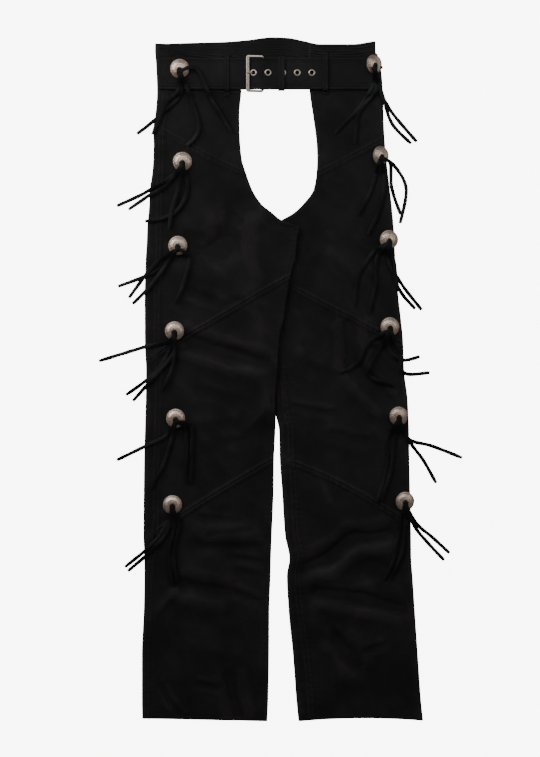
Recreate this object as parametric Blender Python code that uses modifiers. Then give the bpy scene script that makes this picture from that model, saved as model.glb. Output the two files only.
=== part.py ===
"""Leather chaps laid flat on their back, front up, with the waist towards +Y.

The wearer's right leg lies at -X and laps over the left leg at the crotch.
Every leather piece is a wall through sections of a leg. A section is a flat
tube: its two layers lie on each other and turn over a rounded edge at each side.
Sizes are in millimetres up to the point where a mesh is made.
"""
import math

import bmesh
import bpy
from mathutils import Matrix, Vector

MM = 0.001

# Leather and how it lies
LEATHER = 1.4
BAND_LEATHER = 2.0
STRAP_LEATHER = 2.4
BILLET_LEATHER = 2.0
LOOP_LEATHER = 1.4
EDGE_RADIUS = 3.3
LOFT = 5.6
LEAST_LOFT = 2 * LEATHER + 0.6
EDGE_REACH = 16.0
SEAM_GAP = 0.46
LAY_GAP = 0.4
TURN_UNDER = 15.0
STRIP_WIDTH = 30.0
BACK_INSET = 8.0
BACK_OPEN_Y = 232.0

QUARTER = 0.5 * math.pi * EDGE_RADIUS
HALF = math.pi * EDGE_RADIUS

# The right leg lies over the left one, raised by both its layers
RAISE = 7.5
RAISE_MARGIN = 12.0
RAISE_RAMP = 45.0
LAP_CORNERS = ((-29, 238), (1, 250.5), (31, 238), (-8, -30))
LAP_FOOT = -30.0
WAIST_Y = 450.0
BACK_TOP_Y = 458.8

# How finely the walls are divided: columns across a front, the width of the band
# next to the inner edge, and rows up each panel
TOP_COLUMNS = 7
NEAR_EDGE = 8.0
CROTCH_ROWS = (305, 289, 275, 262, 252, 245, 238, 229, 210, 188)
HIP_ROWS, KNEE_ROWS, LOWER_ROWS = 4, 10, 13

# Belt, buckle and eyelets
BELT_Y = 481.4
BELT_WIDTH = 50.2
BAND_TOP_Z = LOFT + LAY_GAP
BILLET_END_X = 148.0
HINGE_X, HINGE_Z = -27.6, 6.6
HINGE_BAR = 2.6
HINGE_LOOP_RADIUS = 4.0
BUCKLE_BAR_X, BUCKLE_BAR_Z = -51.7, 11.3
BUCKLE_BAR_WIDTH = 5.4
BUCKLE_SIDE_WIDTH = 3.8
BUCKLE_HEIGHT = 58.6
BUCKLE_THICK = 2.6
PRONG_THICK = 2.0
EYELET_Y = 482.6
EYELET_PITCH = 23.0
EYELET_FIRST_X = -42.6
EYELET_COUNT = 5
EYELET_RADIUS = 5.6
EYELET_HOLE_RADIUS = 3.2
STRAP_HOLE_RADIUS = 3.6
KEEPER_X = (-1.0, 6.5)

# Top face of the holed strap: x, z. It dips under the buckle's bar and climbs its hinge.
STRAP_PATH = ((-190, 9.4), (-165, 8.6), (-150, 8.4), (-100, 8.4), (-62, 8.4), (-50.5, 8.4),
              (-36, 12.7), (-31.5, 13.4), (-24, 13.4), (-18, 12.7), (-8, 11.3), (-3, 11.1),
              (30, 11.1), (70, 11.1))

# Conchos and laces
CONCHO_RADIUS = 15.0
CONCHO_HEIGHT = 4.6
CONCHO_RIM = 1.5
SLOT_WIDTH = 9.6
SLOT_TOP, SLOT_BOTTOM = -0.5, -10.5
LACE_WIDTH = 3.8
LACE_THICK = 0.9
LACE_STEP = 1.25
LACE_CLEAR = 0.6
LACE_POINT_PITCH = 19.0

# Leg sections: y, then x of the right leg's outer and inner edge, and of the
# left leg's inner and outer edge. Above y 250 the inner edges bound the belly.
LEG_SECTIONS = (
    (540, -198, -60, 43, 150),
    (517, -198.3, -60, 43, 150.3),
    (504, -197.1, -60, 43, 157),
    (453, -195, -61.8, 46, 161.8),
    (417, -197.6, -64.8, 51, 162.8),
    (393, -201, -64.6, 54.4, 163.7),
    (370, -200.4, -63.4, 57, 165.2),
    (346, -201, -60.7, 57.8, 167.4),
    (322, -203, -53.3, 56.4, 170),
    (299, -206.4, -44.6, 52, 172.8),
    (275, -207.4, -29, 34.6, 175.6),
    (262, -208.4, -13, 20.5, 176.8),
    (252, -209.4, -1, 3, 177.8),
    (245, -210.2, 13.5, -10, 178.4),
    (238, -210.6, 31, -29, 179),
    (220, -211.2, 27, -28, 180),
    (188, -213, 24, -25, 181.4),
    (169, -213.6, 18, -23, 182.8),
    (125, -214.6, 10, -20, 186.8),
    (93, -214.4, 5.5, -17, 190.6),
    (58, -214.3, -2, -14, 193.8),
    (14, -212.4, -4, -11, 195.2),
    (-30, -212.8, -8, -8, 200.7),
    (-49, -213.4, -8, -6, 201.8),
    (-81, -214.2, -8, -2.4, 203),
    (-128, -215.4, -10.2, -1.2, 203.6),
    (-175, -216, -10.8, 2.2, 204.6),
    (-246, -216.5, -13.6, 7, 206.2),
    (-284, -215, -15, 13.9, 206.6),
    (-310, -215, -15.6, 9.8, 208.6),
    (-365, -216, -17.6, 12.6, 212.2),
    (-436, -219, -18, 19.6, 217),
    (-507, -219, -19.3, 24.8, 222),
    (-540, -218.4, -20.8, 28.2, 225.4),
)

# Right leg's outer strip: y, width that shows on the front
OUTER_STRIP = ((453, 14), (360, 13), (283, 16), (204, 20), (-223, 20), (-326, 8), (-540, 7))

# Left leg's inseam, which has rolled on to the front: y, distance from the edge
INSEAM_ROLL = ((238, -2), (170, 2), (43, 9), (-5, 14), (-58, 17), (-133, 19),
               (-330, 17), (-408, 20), (-500, 22.5), (-540, 21.5))

# Seams across the front of a leg: y at the outer edge, y at the inner edge, bow
SEAMS = {
    "right": {"waist": (459, 449, 0), "hip": (397, 325, 0), "thigh": (30, 161, -2),
              "knee": (-253, -128, 3), "hem": (-536, -540, 0)},
    "left": {"waist": (459, 450, 0), "hip": (378, 325, 0), "thigh": (55, 166, 0),
             "knee": (-229, -126, 9), "hem": (-539, -540, 4)},
}

# Top edge of each waistband: x, y
BACK_BAND_TOP = ((-198, 529), (-143, 531), (-89, 532.5), (-51, 535.6), (-26, 539), (-13, 540),
                 (12, 539), (37, 534), (62, 529), (113, 529), (149, 534))
RIGHT_BAND_TOP = ((-198, 529.4), (-184, 526), (-143, 517), (-89, 512), (-60, 509))
LEFT_BAND_TOP = ((43, 531), (62, 528), (113, 528), (149, 533))
BACK_BAND_BOTTOM = 459.3
BACK_BAND_ENDS = (-185.0, 138.0)

# Largest folds: leg, ends x y x y, height (a trough is negative), half width
FOLDS = (
    ("right", -150, 62, -75, 36, -2.2, 13),
    ("right", -75, 36, -12, 22, -2.2, 12),
    ("right", -146, 209, -88, 205, -1.9, 24),
    ("right", -90, 205, -72, 258, -1.7, 20),
    ("right", -154, -325, -92, -338, -1.7, 14),
    ("right", -127, -240, -30, -246, 1.3, 16),
    ("right", -79, -470, -66, -528, -1.5, 13),
    ("left", 110, 84, 116, 26, -1.9, 13),
    ("left", 116, 16, 164, -34, -2.1, 14),
    ("left", 32, -298, 78, -282, -1.9, 14),
    ("left", 78, -280, 112, -254, -2.0, 14),
    ("left", 112, -254, 164, -246, -1.9, 14),
    ("left", 60, -336, 132, -348, -1.7, 14),
    ("left", 132, -348, 192, -362, -1.5, 14),
    ("left", 92, -412, 118, -452, -1.5, 15),
)

# Conchos: name, x, y, tilt in degrees towards +X
CONCHOS = (
    ("right_1", -158.8, 489.2, 0),
    ("right_2", -154.8, 343.0, 0),
    ("right_3", -162.0, 210.6, 0),
    ("right_4", -167.3, 75.8, 0),
    ("right_5", -165.4, -62.0, 0),
    ("right_6", -170.4, -198.2, 0),
    ("left_1", 146.9, 495.9, 34),
    ("left_2", 157.4, 352.0, 32),
    ("left_3", 170.8, 219.6, 14),
    ("left_4", 172.2, 82.2, 8),
    ("left_5", 186.0, -58.6, 12),
    ("left_6", 196.2, -192.8, 10),
)

# Lace ends read off the picture, whose unit is PICTURE_UNIT and whose middle
# is PICTURE_MIDDLE: a row for each strand, from the slot to the tip.
PICTURE_UNIT = 1.58
PICTURE_MIDDLE = (280.5, 379.0)
LACES = {
    "right_1": (((180, 95), (163, 114), (137, 134)),
                ((178, 92), (167, 104), (152.7, 135)),
                ((187.7, 90), (199, 128), (187, 146)),
                ((197, 69.6), (211, 99), (231.6, 132.5))),
    "right_2": (((169.4, 178.6), (145, 193), (117, 206)),
                ((166, 186.6), (149, 196), (128.6, 209.6)),
                ((187.7, 189), (175, 213), (145.3, 222)),
                ((177.4, 191), (171.5, 212), (169.4, 229))),
    "right_3": (((162.5, 268), (145, 276.5), (118, 286.5)),
                ((157, 263), (143, 279), (129, 298)),
                ((163.6, 269), (149, 288), (132.7, 304)),
                ((189, 258), (184, 282), (175.8, 303.5))),
    "right_4": (((168, 342), (145, 347), (99, 361)),
                ((171, 347.7), (155, 373), (126, 395)),
                ((173.5, 353.5), (156, 375), (133, 401)),
                ((174, 360), (169, 377.6), (163, 391))),
    "right_5": (((167, 435), (143.6, 447), (117, 460)),
                ((171, 441), (163, 466), (152, 489)),
                ((185, 428), (187, 452), (186.2, 483)),
                ((190.7, 426), (192, 449), (190.5, 483))),
    "right_6": (((165, 528), (149, 547), (125, 567)),
                ((168, 530), (153, 549), (128, 571)),
                ((174, 526), (170.5, 552), (172, 585)),
                ((179, 526), (173.5, 555), (178, 584))),
    "left_1": (((373, 86), (355, 113), (335, 134)),
               ((376, 90), (359, 113), (354.7, 144.5)),
               ((380, 92), (392, 113), (416.6, 142)),
               ((382, 95), (392, 124), (411, 144))),
    "left_2": (((374, 180), (368, 197), (358.6, 216)),
               ((384, 180), (381, 206), (367.5, 235)),
               ((390, 164), (391.5, 188), (400.5, 214.6)),
               ((394, 166), (406, 189), (400, 223.6))),
    "left_3": (((372, 254), (357, 283), (355, 307.7)),
               ((377, 257), (375, 285), (368.7, 313.5)),
               ((389, 263), (402, 285), (421.6, 310)),
               ((394, 263), (398, 288), (415, 309))),
    "left_4": (((371, 341), (359, 362), (339, 373)),
               ((381, 347), (368, 374), (392.8, 386)),
               ((388.5, 349), (402, 360), (419.8, 356.5)),
               ((399.7, 353), (404, 373), (429.6, 372.6))),
    "left_5": (((388, 440), (386, 470), (377, 502)),
               ((394, 444), (390, 472), (381, 502)),
               ((408.7, 439), (432, 446), (462, 457.7)),
               ((409, 441), (423, 460), (436, 483))),
    "left_6": (((397, 539), (393, 560), (384.6, 580)),
               ((404, 538), (400, 557), (390.8, 579)),
               ((417, 524), (432, 537), (449.5, 553)),
               ((415, 527), (428, 543), (444, 560))),
}

BLACK_LEATHER = (0.022, 0.019, 0.019, 1)
BLACK_LACE = (0.028, 0.029, 0.031, 1)
NICKEL = (0.62, 0.55, 0.49, 1)
LEATHER_FINISH = (BLACK_LEATHER, 0.45, 0.0)
METAL_FINISH = (NICKEL, 0.3, 1.0)


def clear_scene():
    for found in list(bpy.data.objects):
        bpy.data.objects.remove(found)


def new_collection(name):
    collection = bpy.data.collections.new(name)
    bpy.context.scene.collection.children.link(collection)
    return collection


def mix(a, b, t):
    return a + (b - a) * t


def smooth(t):
    t = min(max(t, 0.0), 1.0)
    return t * t * (3 - 2 * t)


def curve_through(rows):
    """A smooth function through (place, value) rows that never overshoots them."""
    rows = sorted(rows)
    places = [row[0] for row in rows]
    values = [row[1] for row in rows]
    spans = [b - a for a, b in zip(places, places[1:])]
    rises = [(b - a) / span for a, b, span in zip(values, values[1:], spans)]
    slopes = [rises[0]]
    for before, after in zip(rises, rises[1:]):
        turns = before * after <= 0
        slopes.append(0.0 if turns else 2 * before * after / (before + after))
    slopes.append(rises[-1])

    def value(place):
        place = min(max(place, places[0]), places[-1])
        k = 0
        while k < len(spans) - 1 and place > places[k + 1]:
            k += 1
        t = (place - places[k]) / spans[k]
        start = values[k] * (1 + 2 * t) * (1 - t) ** 2 + slopes[k] * spans[k] * t * (1 - t) ** 2
        end = values[k + 1] * t * t * (3 - 2 * t) + slopes[k + 1] * spans[k] * t * t * (t - 1)
        return start + end

    return value


def picture_place(point):
    return ((point[0] - PICTURE_MIDDLE[0]) * PICTURE_UNIT,
            (PICTURE_MIDDLE[1] - point[1]) * PICTURE_UNIT)


right_outer, right_inner, left_inner, left_outer = (
    curve_through([(row[0], row[column]) for row in LEG_SECTIONS]) for column in (1, 2, 3, 4))
outer_strip = curve_through(OUTER_STRIP)
inseam_roll = curve_through(INSEAM_ROLL)


def edges(leg, y):
    """Lower and higher x of a leg; the waist spans both legs."""
    if leg == "right":
        return right_outer(y), right_inner(y)
    if leg == "left":
        return left_inner(y), left_outer(y)
    return right_outer(y), left_outer(y)


def lap_distance(x, y):
    """How far a place lies outside the lap of the right leg over the left one."""
    distance = LAP_FOOT - y
    for here, there in zip(LAP_CORNERS, LAP_CORNERS[1:] + LAP_CORNERS[:1]):
        along = Vector((there[0] - here[0], there[1] - here[1])).normalized()
        outside = (x - here[0]) * -along.y + (y - here[1]) * along.x
        distance = max(distance, outside)
    return distance


def rest_height(leg, x, y):
    """Height of a leg's underside: the right leg climbs over the left one."""
    if leg != "right":
        return 0.0
    return RAISE * (1 - smooth((lap_distance(x, y) - RAISE_MARGIN) / RAISE_RAMP))


def fold_height(leg, x, y):
    """Sum of the folds at a place: a trough between two low shoulders."""
    height = 0.0
    for owner, x0, y0, x1, y1, depth, width in FOLDS:
        if owner != leg:
            continue
        run = Vector((x1 - x0, y1 - y0))
        offset = Vector((x - x0, y - y0))
        t = offset.dot(run) / run.length_squared
        across = abs(offset.x * run.y - offset.y * run.x) / run.length / width
        beyond = max(-t, t - 1, 0) * run.length / width
        if across > 4 or beyond > 3:
            continue
        fade = math.exp(-beyond * beyond)
        height += depth * (1 - across * across) * math.exp(-across * across / 2) * fade
    return height


def slow_wave(x, y):
    return 0.5 * math.sin(x / 31 + y / 57) + 0.4 * math.sin(y / 43 - x / 70 + 1)


def loft(leg, x, y):
    """Height of a leg's top face over its underside, with folds and seam ridges."""
    low, high = edges(leg, y)
    below_waist = smooth((WAIST_Y - y) / 60)
    low_inset = max(x - low - EDGE_RADIUS, 0.0)
    high_inset = max(high - x - EDGE_RADIUS, 0.0)
    near_low = math.exp(-(low_inset / EDGE_REACH) ** 2)
    near_high = math.exp(-(high_inset / EDGE_REACH) ** 2)
    if leg == "right":
        near_edge = max(near_low, near_high * below_waist)
    else:
        near_edge = max(near_low * below_waist, near_high)
    wander = (slow_wave(x, y) + fold_height(leg, x, y)) * below_waist
    if leg == "left":
        wander *= smooth(lap_distance(x, y) / 30)
    middle = max(LOFT + wander, LEAST_LOFT)
    return 2 * EDGE_RADIUS * near_edge + middle * (1 - near_edge)


def section_point(leg, y, s):
    """The point at distance s round a leg's section, from where its top begins at low x."""
    low, high = edges(leg, y)
    r = EDGE_RADIUS
    top = high - low - 2 * r
    if s < -HALF:
        x = low + r - s - HALF
        return Vector((x, y, rest_height(leg, x, y)))
    if s < 0:
        base, half_height = rest_height(leg, low, y), loft(leg, low, y) / 2
        return Vector((low + r + r * math.sin(s / r), y,
                       base + half_height * (1 + math.cos(s / r))))
    if s <= top:
        x = low + r + s
        return Vector((x, y, rest_height(leg, x, y) + loft(leg, x, y)))
    if s <= top + HALF:
        turn = (s - top) / r
        base, half_height = rest_height(leg, high, y), loft(leg, high, y) / 2
        return Vector((high - r + r * math.sin(turn), y,
                       base + half_height * (1 + math.cos(turn))))
    x = high - r - (s - top - HALF)
    return Vector((x, y, rest_height(leg, x, y)))


def section_normal(leg, y, s):
    """Outward direction of a section at a distance s round it."""
    step = 0.4
    along = section_point(leg, y, s + step) - section_point(leg, y, s - step)
    return Vector((-along.z, 0, along.x)).normalized()


def top_length(leg, y):
    low, high = edges(leg, y)
    return high - low - 2 * EDGE_RADIUS


def share_across(leg, y, s):
    """Share of the way from a leg's outer edge to its inner edge."""
    low, high = edges(leg, y)
    x = section_point(leg, y, s).x
    share = (x - low - EDGE_RADIUS) / (high - low - 2 * EDGE_RADIUS)
    share = min(max(share, 0.0), 1.0)
    return share if leg == "right" else 1 - share


def seam(leg, name):
    """Height in y of a seam across the front, from 0 at the outer edge to 1 at the inner."""
    outer, inner, bow = SEAMS[leg][name]
    return lambda u: mix(outer, inner, u) + bow * 4 * u * (1 - u)


def principled(name, color, roughness, metallic):
    material = bpy.data.materials.new(name)
    material.use_nodes = True
    shader = material.node_tree.nodes["Principled BSDF"]
    shader.inputs["Base Color"].default_value = color
    shader.inputs["Roughness"].default_value = roughness
    shader.inputs["Metallic"].default_value = metallic
    material.diffuse_color = color
    return material


def add_object(name, mesh, collection, finish):
    made = bpy.data.objects.new(name, mesh)
    collection.objects.link(made)
    if finish is not None:
        color, roughness, metallic = finish
        mesh.materials.append(principled(name, color, roughness, metallic))
    return made


def grid_mesh(name, rows, closed=False):
    """An open surface through rows of points, all of one length, in millimetres."""
    shape = bmesh.new()
    lines = [[shape.verts.new(point * MM) for point in row] for row in rows]
    pairs = list(zip(lines, lines[1:]))
    if closed:
        pairs.append((lines[-1], lines[0]))
    for here, there in pairs:
        for k in range(len(here) - 1):
            shape.faces.new((here[k], here[k + 1], there[k + 1], there[k]))
    mesh = bpy.data.meshes.new(name)
    shape.to_mesh(mesh)
    shape.free()
    return mesh


def wall_mesh(name, outside, inside):
    """A closed wall between two grids of points that match row by row."""
    shape = bmesh.new()
    outer = [[shape.verts.new(point * MM) for point in row] for row in outside]
    inner = [[shape.verts.new(point * MM) for point in row] for row in inside]
    rows, columns = len(outer), len(outer[0])
    for j in range(rows - 1):
        for k in range(columns - 1):
            shape.faces.new((outer[j][k], outer[j][k + 1], outer[j + 1][k + 1], outer[j + 1][k]))
            shape.faces.new((inner[j][k], inner[j + 1][k], inner[j + 1][k + 1], inner[j][k + 1]))
    for j in range(rows - 1):
        shape.faces.new((outer[j][0], outer[j + 1][0], inner[j + 1][0], inner[j][0]))
        shape.faces.new((outer[j][-1], inner[j][-1], inner[j + 1][-1], outer[j + 1][-1]))
    for k in range(columns - 1):
        shape.faces.new((outer[0][k], inner[0][k], inner[0][k + 1], outer[0][k + 1]))
        shape.faces.new((outer[-1][k], outer[-1][k + 1], inner[-1][k + 1], inner[-1][k]))
    mesh = bpy.data.meshes.new(name)
    shape.to_mesh(mesh)
    shape.free()
    return mesh


def thicken(made, thickness):
    """The wall grows inwards from the surface that was drawn."""
    wall = made.modifiers.new("Leather thickness", "SOLIDIFY")
    wall.thickness = thickness * MM
    wall.offset = -1
    return made


def wall_through_sections(name, leg, columns, lines, thickness, kept):
    """A leather piece: columns give places round the section, lines give y across the leg."""
    outside, inside = [], []
    for line in lines:
        outer_row, inner_row = [], []
        for k in range(len(columns(0.0))):
            y = line(0.5)
            for _ in range(4):
                s = columns(y)[k]
                y = line(share_across(leg, y, s))
            s = columns(y)[k]
            point = section_point(leg, y, s)
            outer_row.append(point)
            inner_row.append(point - section_normal(leg, y, s) * thickness)
        outside.append(outer_row)
        inside.append(inner_row)
    return add_object(name, wall_mesh(name, outside, inside), kept, LEATHER_FINISH)


def even(count):
    return [k / count for k in range(count + 1)]


def spread(start, end, count):
    """Places from start up to but without end."""
    return [mix(start, end, k / count) for k in range(count)]


def right_front_columns(y):
    top = top_length("right", y)
    start = outer_strip(y) - EDGE_RADIUS + SEAM_GAP / 2
    places = spread(start, top - NEAR_EDGE, TOP_COLUMNS) + [top - NEAR_EDGE, top]
    return places + [top + QUARTER / 2, top + QUARTER - SEAM_GAP / 2]


def left_front_columns(y):
    top = top_length("left", y)
    start = left_inseam(y) + SEAM_GAP / 2
    curl = [start, start + 2.3, start + 5.2, start + 12]
    places = curl[:3] + spread(curl[3], top - NEAR_EDGE, TOP_COLUMNS) + [top - NEAR_EDGE, top]
    turn = [top + HALF / 3, top + HALF * 2 / 3, top + HALF]
    return places + turn + [top + HALF + TURN_UNDER - SEAM_GAP / 2]


def left_inseam(y):
    """Where the left leg's inseam runs: half way round the edge, then on to the front."""
    rolled = max(inseam_roll(y), -2) + 2
    return -QUARTER + rolled * (QUARTER + 19 - EDGE_RADIUS) / 21


def crotch_fractions(leg):
    """Rows of a thigh that meet the crotch's corner along its inner edge."""
    high, low = seam(leg, "hip")(1), seam(leg, "thigh")(1)
    return [0.0] + [(y - low) / (high - low) for y in sorted(CROTCH_ROWS)] + [1.0]


def between_lines(low, high, fraction, gap=0.0):
    """A line across the leg part of the way up from one seam to another."""
    return lambda u: mix(low(u) + gap, high(u) - gap, fraction)


def panels(leg):
    """Name, lower seam, upper seam and row fractions of each front panel, hem first."""
    return (("lower", seam(leg, "hem"), seam(leg, "knee"), even(LOWER_ROWS)),
            ("knee", seam(leg, "knee"), seam(leg, "thigh"), even(KNEE_ROWS)),
            ("thigh", seam(leg, "thigh"), seam(leg, "hip"), crotch_fractions(leg)),
            ("hip", seam(leg, "hip"), seam(leg, "waist"), even(HIP_ROWS)))


def whole_lines(leg):
    """Lines of a piece that runs from hem to waist, level with the front's own rows."""
    lines = []
    for _, low, high, fractions in panels(leg):
        lines += [between_lines(low, high, fraction) for fraction in fractions[:-1]]
    waist = seam(leg, "waist")
    return lines + [lambda u: waist(u) - SEAM_GAP / 2]


def front_panels(leg, columns, kept):
    for part, low, high, fractions in panels(leg):
        lines = [between_lines(low, high, fraction, SEAM_GAP / 2) for fraction in fractions]
        wall_through_sections(f"{leg}_front_{part}", leg, columns, lines, LEATHER, kept)


def opening_inset(y):
    """The back's free edge at the seat lies a little outside the front's at the belly."""
    return BACK_INSET * smooth((y - BACK_OPEN_Y) / 20)


def right_back_columns(y):
    top = top_length("right", y)
    bottom_end = top + HALF + top - TURN_UNDER - SEAM_GAP / 2
    begin = top + QUARTER + SEAM_GAP / 2 + opening_inset(y)
    settle = top + HALF + 6 + opening_inset(y) * 0.5
    turn = [begin, mix(begin, settle, 0.24), mix(begin, settle, 0.5)]
    return turn + spread(settle, bottom_end, 7) + [bottom_end]


def left_back_columns(y):
    top = top_length("left", y)
    start = -(HALF + top - TURN_UNDER - STRIP_WIDTH - SEAM_GAP / 2)
    end = left_inseam(y) - SEAM_GAP / 2 - opening_inset(y)
    turn_start = -HALF - opening_inset(y) * 1.4
    return spread(start, turn_start, 3) + spread(turn_start, end, 5) + [end]


def right_strip_columns(y):
    end = outer_strip(y) - EDGE_RADIUS - SEAM_GAP / 2
    return [-(HALF + TURN_UNDER - SEAM_GAP / 2)] + spread(-HALF, 0, 3) + [0.0, end]


def left_strip_columns(y):
    top = top_length("left", y)
    start = top + HALF + TURN_UNDER + SEAM_GAP / 2
    return [start, start + STRIP_WIDTH - SEAM_GAP]


def legs(kept):
    front_panels("right", right_front_columns, kept)
    front_panels("left", left_front_columns, kept)
    long_pieces = (("right_back", "right", right_back_columns),
                   ("left_back", "left", left_back_columns),
                   ("right_outer_strip", "right", right_strip_columns),
                   ("left_outer_strip", "left", left_strip_columns))
    for name, leg, columns in long_pieces:
        lines = whole_lines(leg)
        if name.endswith("back"):
            lines[-1] = lambda u: BACK_TOP_Y
        wall_through_sections(name, leg, columns, lines, LEATHER, kept)


def waistbands(kept):
    """Two front bands, which turn under the side edges to meet the flat back band."""
    low_end, high_end = BACK_BAND_ENDS

    def right_columns(y):
        top = top_length("right", y)
        under = low_end - SEAM_GAP - edges("right", y)[0] - EDGE_RADIUS
        places = [-HALF - under] + spread(-HALF, 0, 3) + spread(0, top, 6)
        return places + [top, top + QUARTER / 2, top + QUARTER - SEAM_GAP / 2]

    def left_columns(y):
        top = top_length("left", y)
        under = edges("left", y)[1] - EDGE_RADIUS - high_end - SEAM_GAP
        places = [-QUARTER + SEAM_GAP / 2, -QUARTER / 2] + spread(0, top, 6)
        return places + spread(top, top + HALF, 3) + [top + HALF, top + HALF + under]

    bands = (("right_waistband", "right", right_columns, RIGHT_BAND_TOP),
             ("left_waistband", "left", left_columns, LEFT_BAND_TOP))
    for name, leg, columns, top_rows in bands:
        waist, edge = seam(leg, "waist"), curve_through(top_rows)
        ends = (top_rows[0][0], top_rows[-1][0])
        outer_x, inner_x = ends if leg == "right" else ends[::-1]
        lines = [
            lambda u, v=fraction, w=waist, e=edge, a=outer_x, b=inner_x:
            mix(w(u) + SEAM_GAP / 2, e(mix(a, b, u)), v)
            for fraction in even(5)]
        wall_through_sections(name, leg, columns, lines, BAND_LEATHER, kept)
    back_band(kept)


def back_band(kept):
    """Flat on the ground; its inside shows above the belt."""
    top_edge = curve_through(BACK_BAND_TOP)
    places = [mix(*BACK_BAND_ENDS, share) for share in even(16)]
    low = [Vector((x, BACK_BAND_BOTTOM, BAND_LEATHER)) for x in places]
    high = [Vector((x, top_edge(x), BAND_LEATHER)) for x in places]
    made = add_object("back_waistband", grid_mesh("back_waistband", [low, high]), kept,
                      LEATHER_FINISH)
    thicken(made, BAND_LEATHER)


def cutter_cylinder(name, center, radius, depth, cutters):
    shape = bmesh.new()
    bmesh.ops.create_cone(shape, cap_ends=True, segments=14, radius1=radius * MM,
                          radius2=radius * MM, depth=depth * MM)
    mesh = bpy.data.meshes.new(name)
    shape.to_mesh(mesh)
    shape.free()
    made = bpy.data.objects.new(name, mesh)
    made.location = Vector(center) * MM
    cutters.objects.link(made)
    return hide_helper(made)


def cutter_box(name, low, high, cutters, turn=None):
    shape = bmesh.new()
    bmesh.ops.create_cube(shape, size=1)
    size = Vector(high) - Vector(low)
    middle = (Vector(high) + Vector(low)) / 2
    bmesh.ops.scale(shape, vec=size * MM, verts=shape.verts)
    bmesh.ops.translate(shape, vec=middle * MM, verts=shape.verts)
    mesh = bpy.data.meshes.new(name)
    shape.to_mesh(mesh)
    shape.free()
    made = bpy.data.objects.new(name, mesh)
    if turn is not None:
        made.matrix_world = turn
    cutters.objects.link(made)
    return hide_helper(made)


def hide_helper(made):
    made.hide_render = True
    made.display_type = "WIRE"
    return made


def cut(made, cutter):
    hole = made.modifiers.new(f"Cut {cutter.name}", "BOOLEAN")
    hole.operation = "DIFFERENCE"
    hole.object = cutter


def strap_top(x):
    """Height of the strap's top face, straight between the places on its path."""
    for (x0, z0), (x1, z1) in zip(STRAP_PATH, STRAP_PATH[1:]):
        if x <= x1:
            return mix(z0, z1, max((x - x0) / (x1 - x0), 0.0))
    return STRAP_PATH[-1][1]


def belt(kept, cutters):
    low_y = BELT_Y - BELT_WIDTH / 2
    across = Vector((0, BELT_WIDTH, 0))
    strap_path = [Vector((x, low_y, z)) for x, z in STRAP_PATH]
    strap = strip_of("belt_strap", strap_path, across, STRAP_LEATHER, kept)
    for k in range(EYELET_COUNT):
        x = EYELET_FIRST_X + k * EYELET_PITCH
        cut(strap, cutter_cylinder(f"eyelet_hole_{k + 1}", (x, EYELET_Y, strap_top(x)),
                                   STRAP_HOLE_RADIUS, 12, cutters))
    loop_path = []
    for k in range(9):
        turn = math.radians(mix(-35, -333, k / 8))
        loop_path.append(Vector((HINGE_X + HINGE_LOOP_RADIUS * math.cos(turn), low_y,
                                 HINGE_Z + HINGE_LOOP_RADIUS * math.sin(turn))))
    flat_z = loop_path[-1].z
    billet_path = loop_path + [Vector((x, low_y, flat_z)) for x in (-10, 30, 70, 110)]
    billet_path += [Vector((130, low_y, 8.6)), Vector((BILLET_END_X, low_y, 9.0))]
    billet = strip_of("belt_billet", billet_path, across, BILLET_LEATHER, kept)
    cut(billet, cutter_box("prong_slot", (-33, EYELET_Y - 1.9, 1), (-21, EYELET_Y + 1.9, 12),
                           cutters))


def strip_of(name, path, across, thickness, kept, finish=LEATHER_FINISH, closed=False):
    """A strap whose top face runs along the path; across must lie left of the path."""
    rows = [[point, point + across] for point in path]
    turned = [[row[1], row[0]] for row in rows]
    made = add_object(name, grid_mesh(name, turned, closed), kept, finish)
    return thicken(made, thickness)


def belt_loops(kept):
    """Each loop is sewn to the band above and below and crosses over the belt."""
    loops = (("right_belt_loop", -88.0, -80.6, 8.4, 447.0),
             ("left_belt_loop", 66.6, 75.0, 11.1, 449.6))
    for name, x0, x1, belt_top, foot_y in loops:
        crest = belt_top + 0.3 + LOOP_LEATHER
        foot = BAND_TOP_Z + LOOP_LEATHER + 0.2
        over_low, over_high = BELT_Y - BELT_WIDTH / 2 - 1.8, BELT_Y + BELT_WIDTH / 2 + 1.8
        path = [(over_high + 7, foot), (over_high + 1.6, foot), (over_high, crest - 0.6),
                (over_high - 3.4, crest), (over_low + 3.4, crest), (over_low, crest - 0.6),
                (over_low - 1.6, foot), (foot_y, foot)]
        path = [Vector((x0, y, z)) for y, z in path]
        strip_of(name, path, Vector((x1 - x0, 0, 0)), LOOP_LEATHER, kept)


def keeper(kept):
    """A ring of leather round both layers of the belt."""
    wall = LOOP_LEATHER
    low_y = BELT_Y - BELT_WIDTH / 2 - 0.4 - wall
    high_y = BELT_Y + BELT_WIDTH / 2 + 0.4 + wall
    low_z, high_z = 4.6, 14.1
    c = 1.2
    ring = [(high_y, high_z - c), (high_y - c, high_z), (low_y + c, high_z), (low_y, high_z - c),
            (low_y, low_z + c), (low_y + c, low_z), (high_y - c, low_z), (high_y, low_z + c)]
    path = [Vector((KEEPER_X[0], y, z)) for y, z in ring]
    across = Vector((KEEPER_X[1] - KEEPER_X[0], 0, 0))
    strip_of("belt_keeper", path, across, wall, kept, closed=True)


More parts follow.
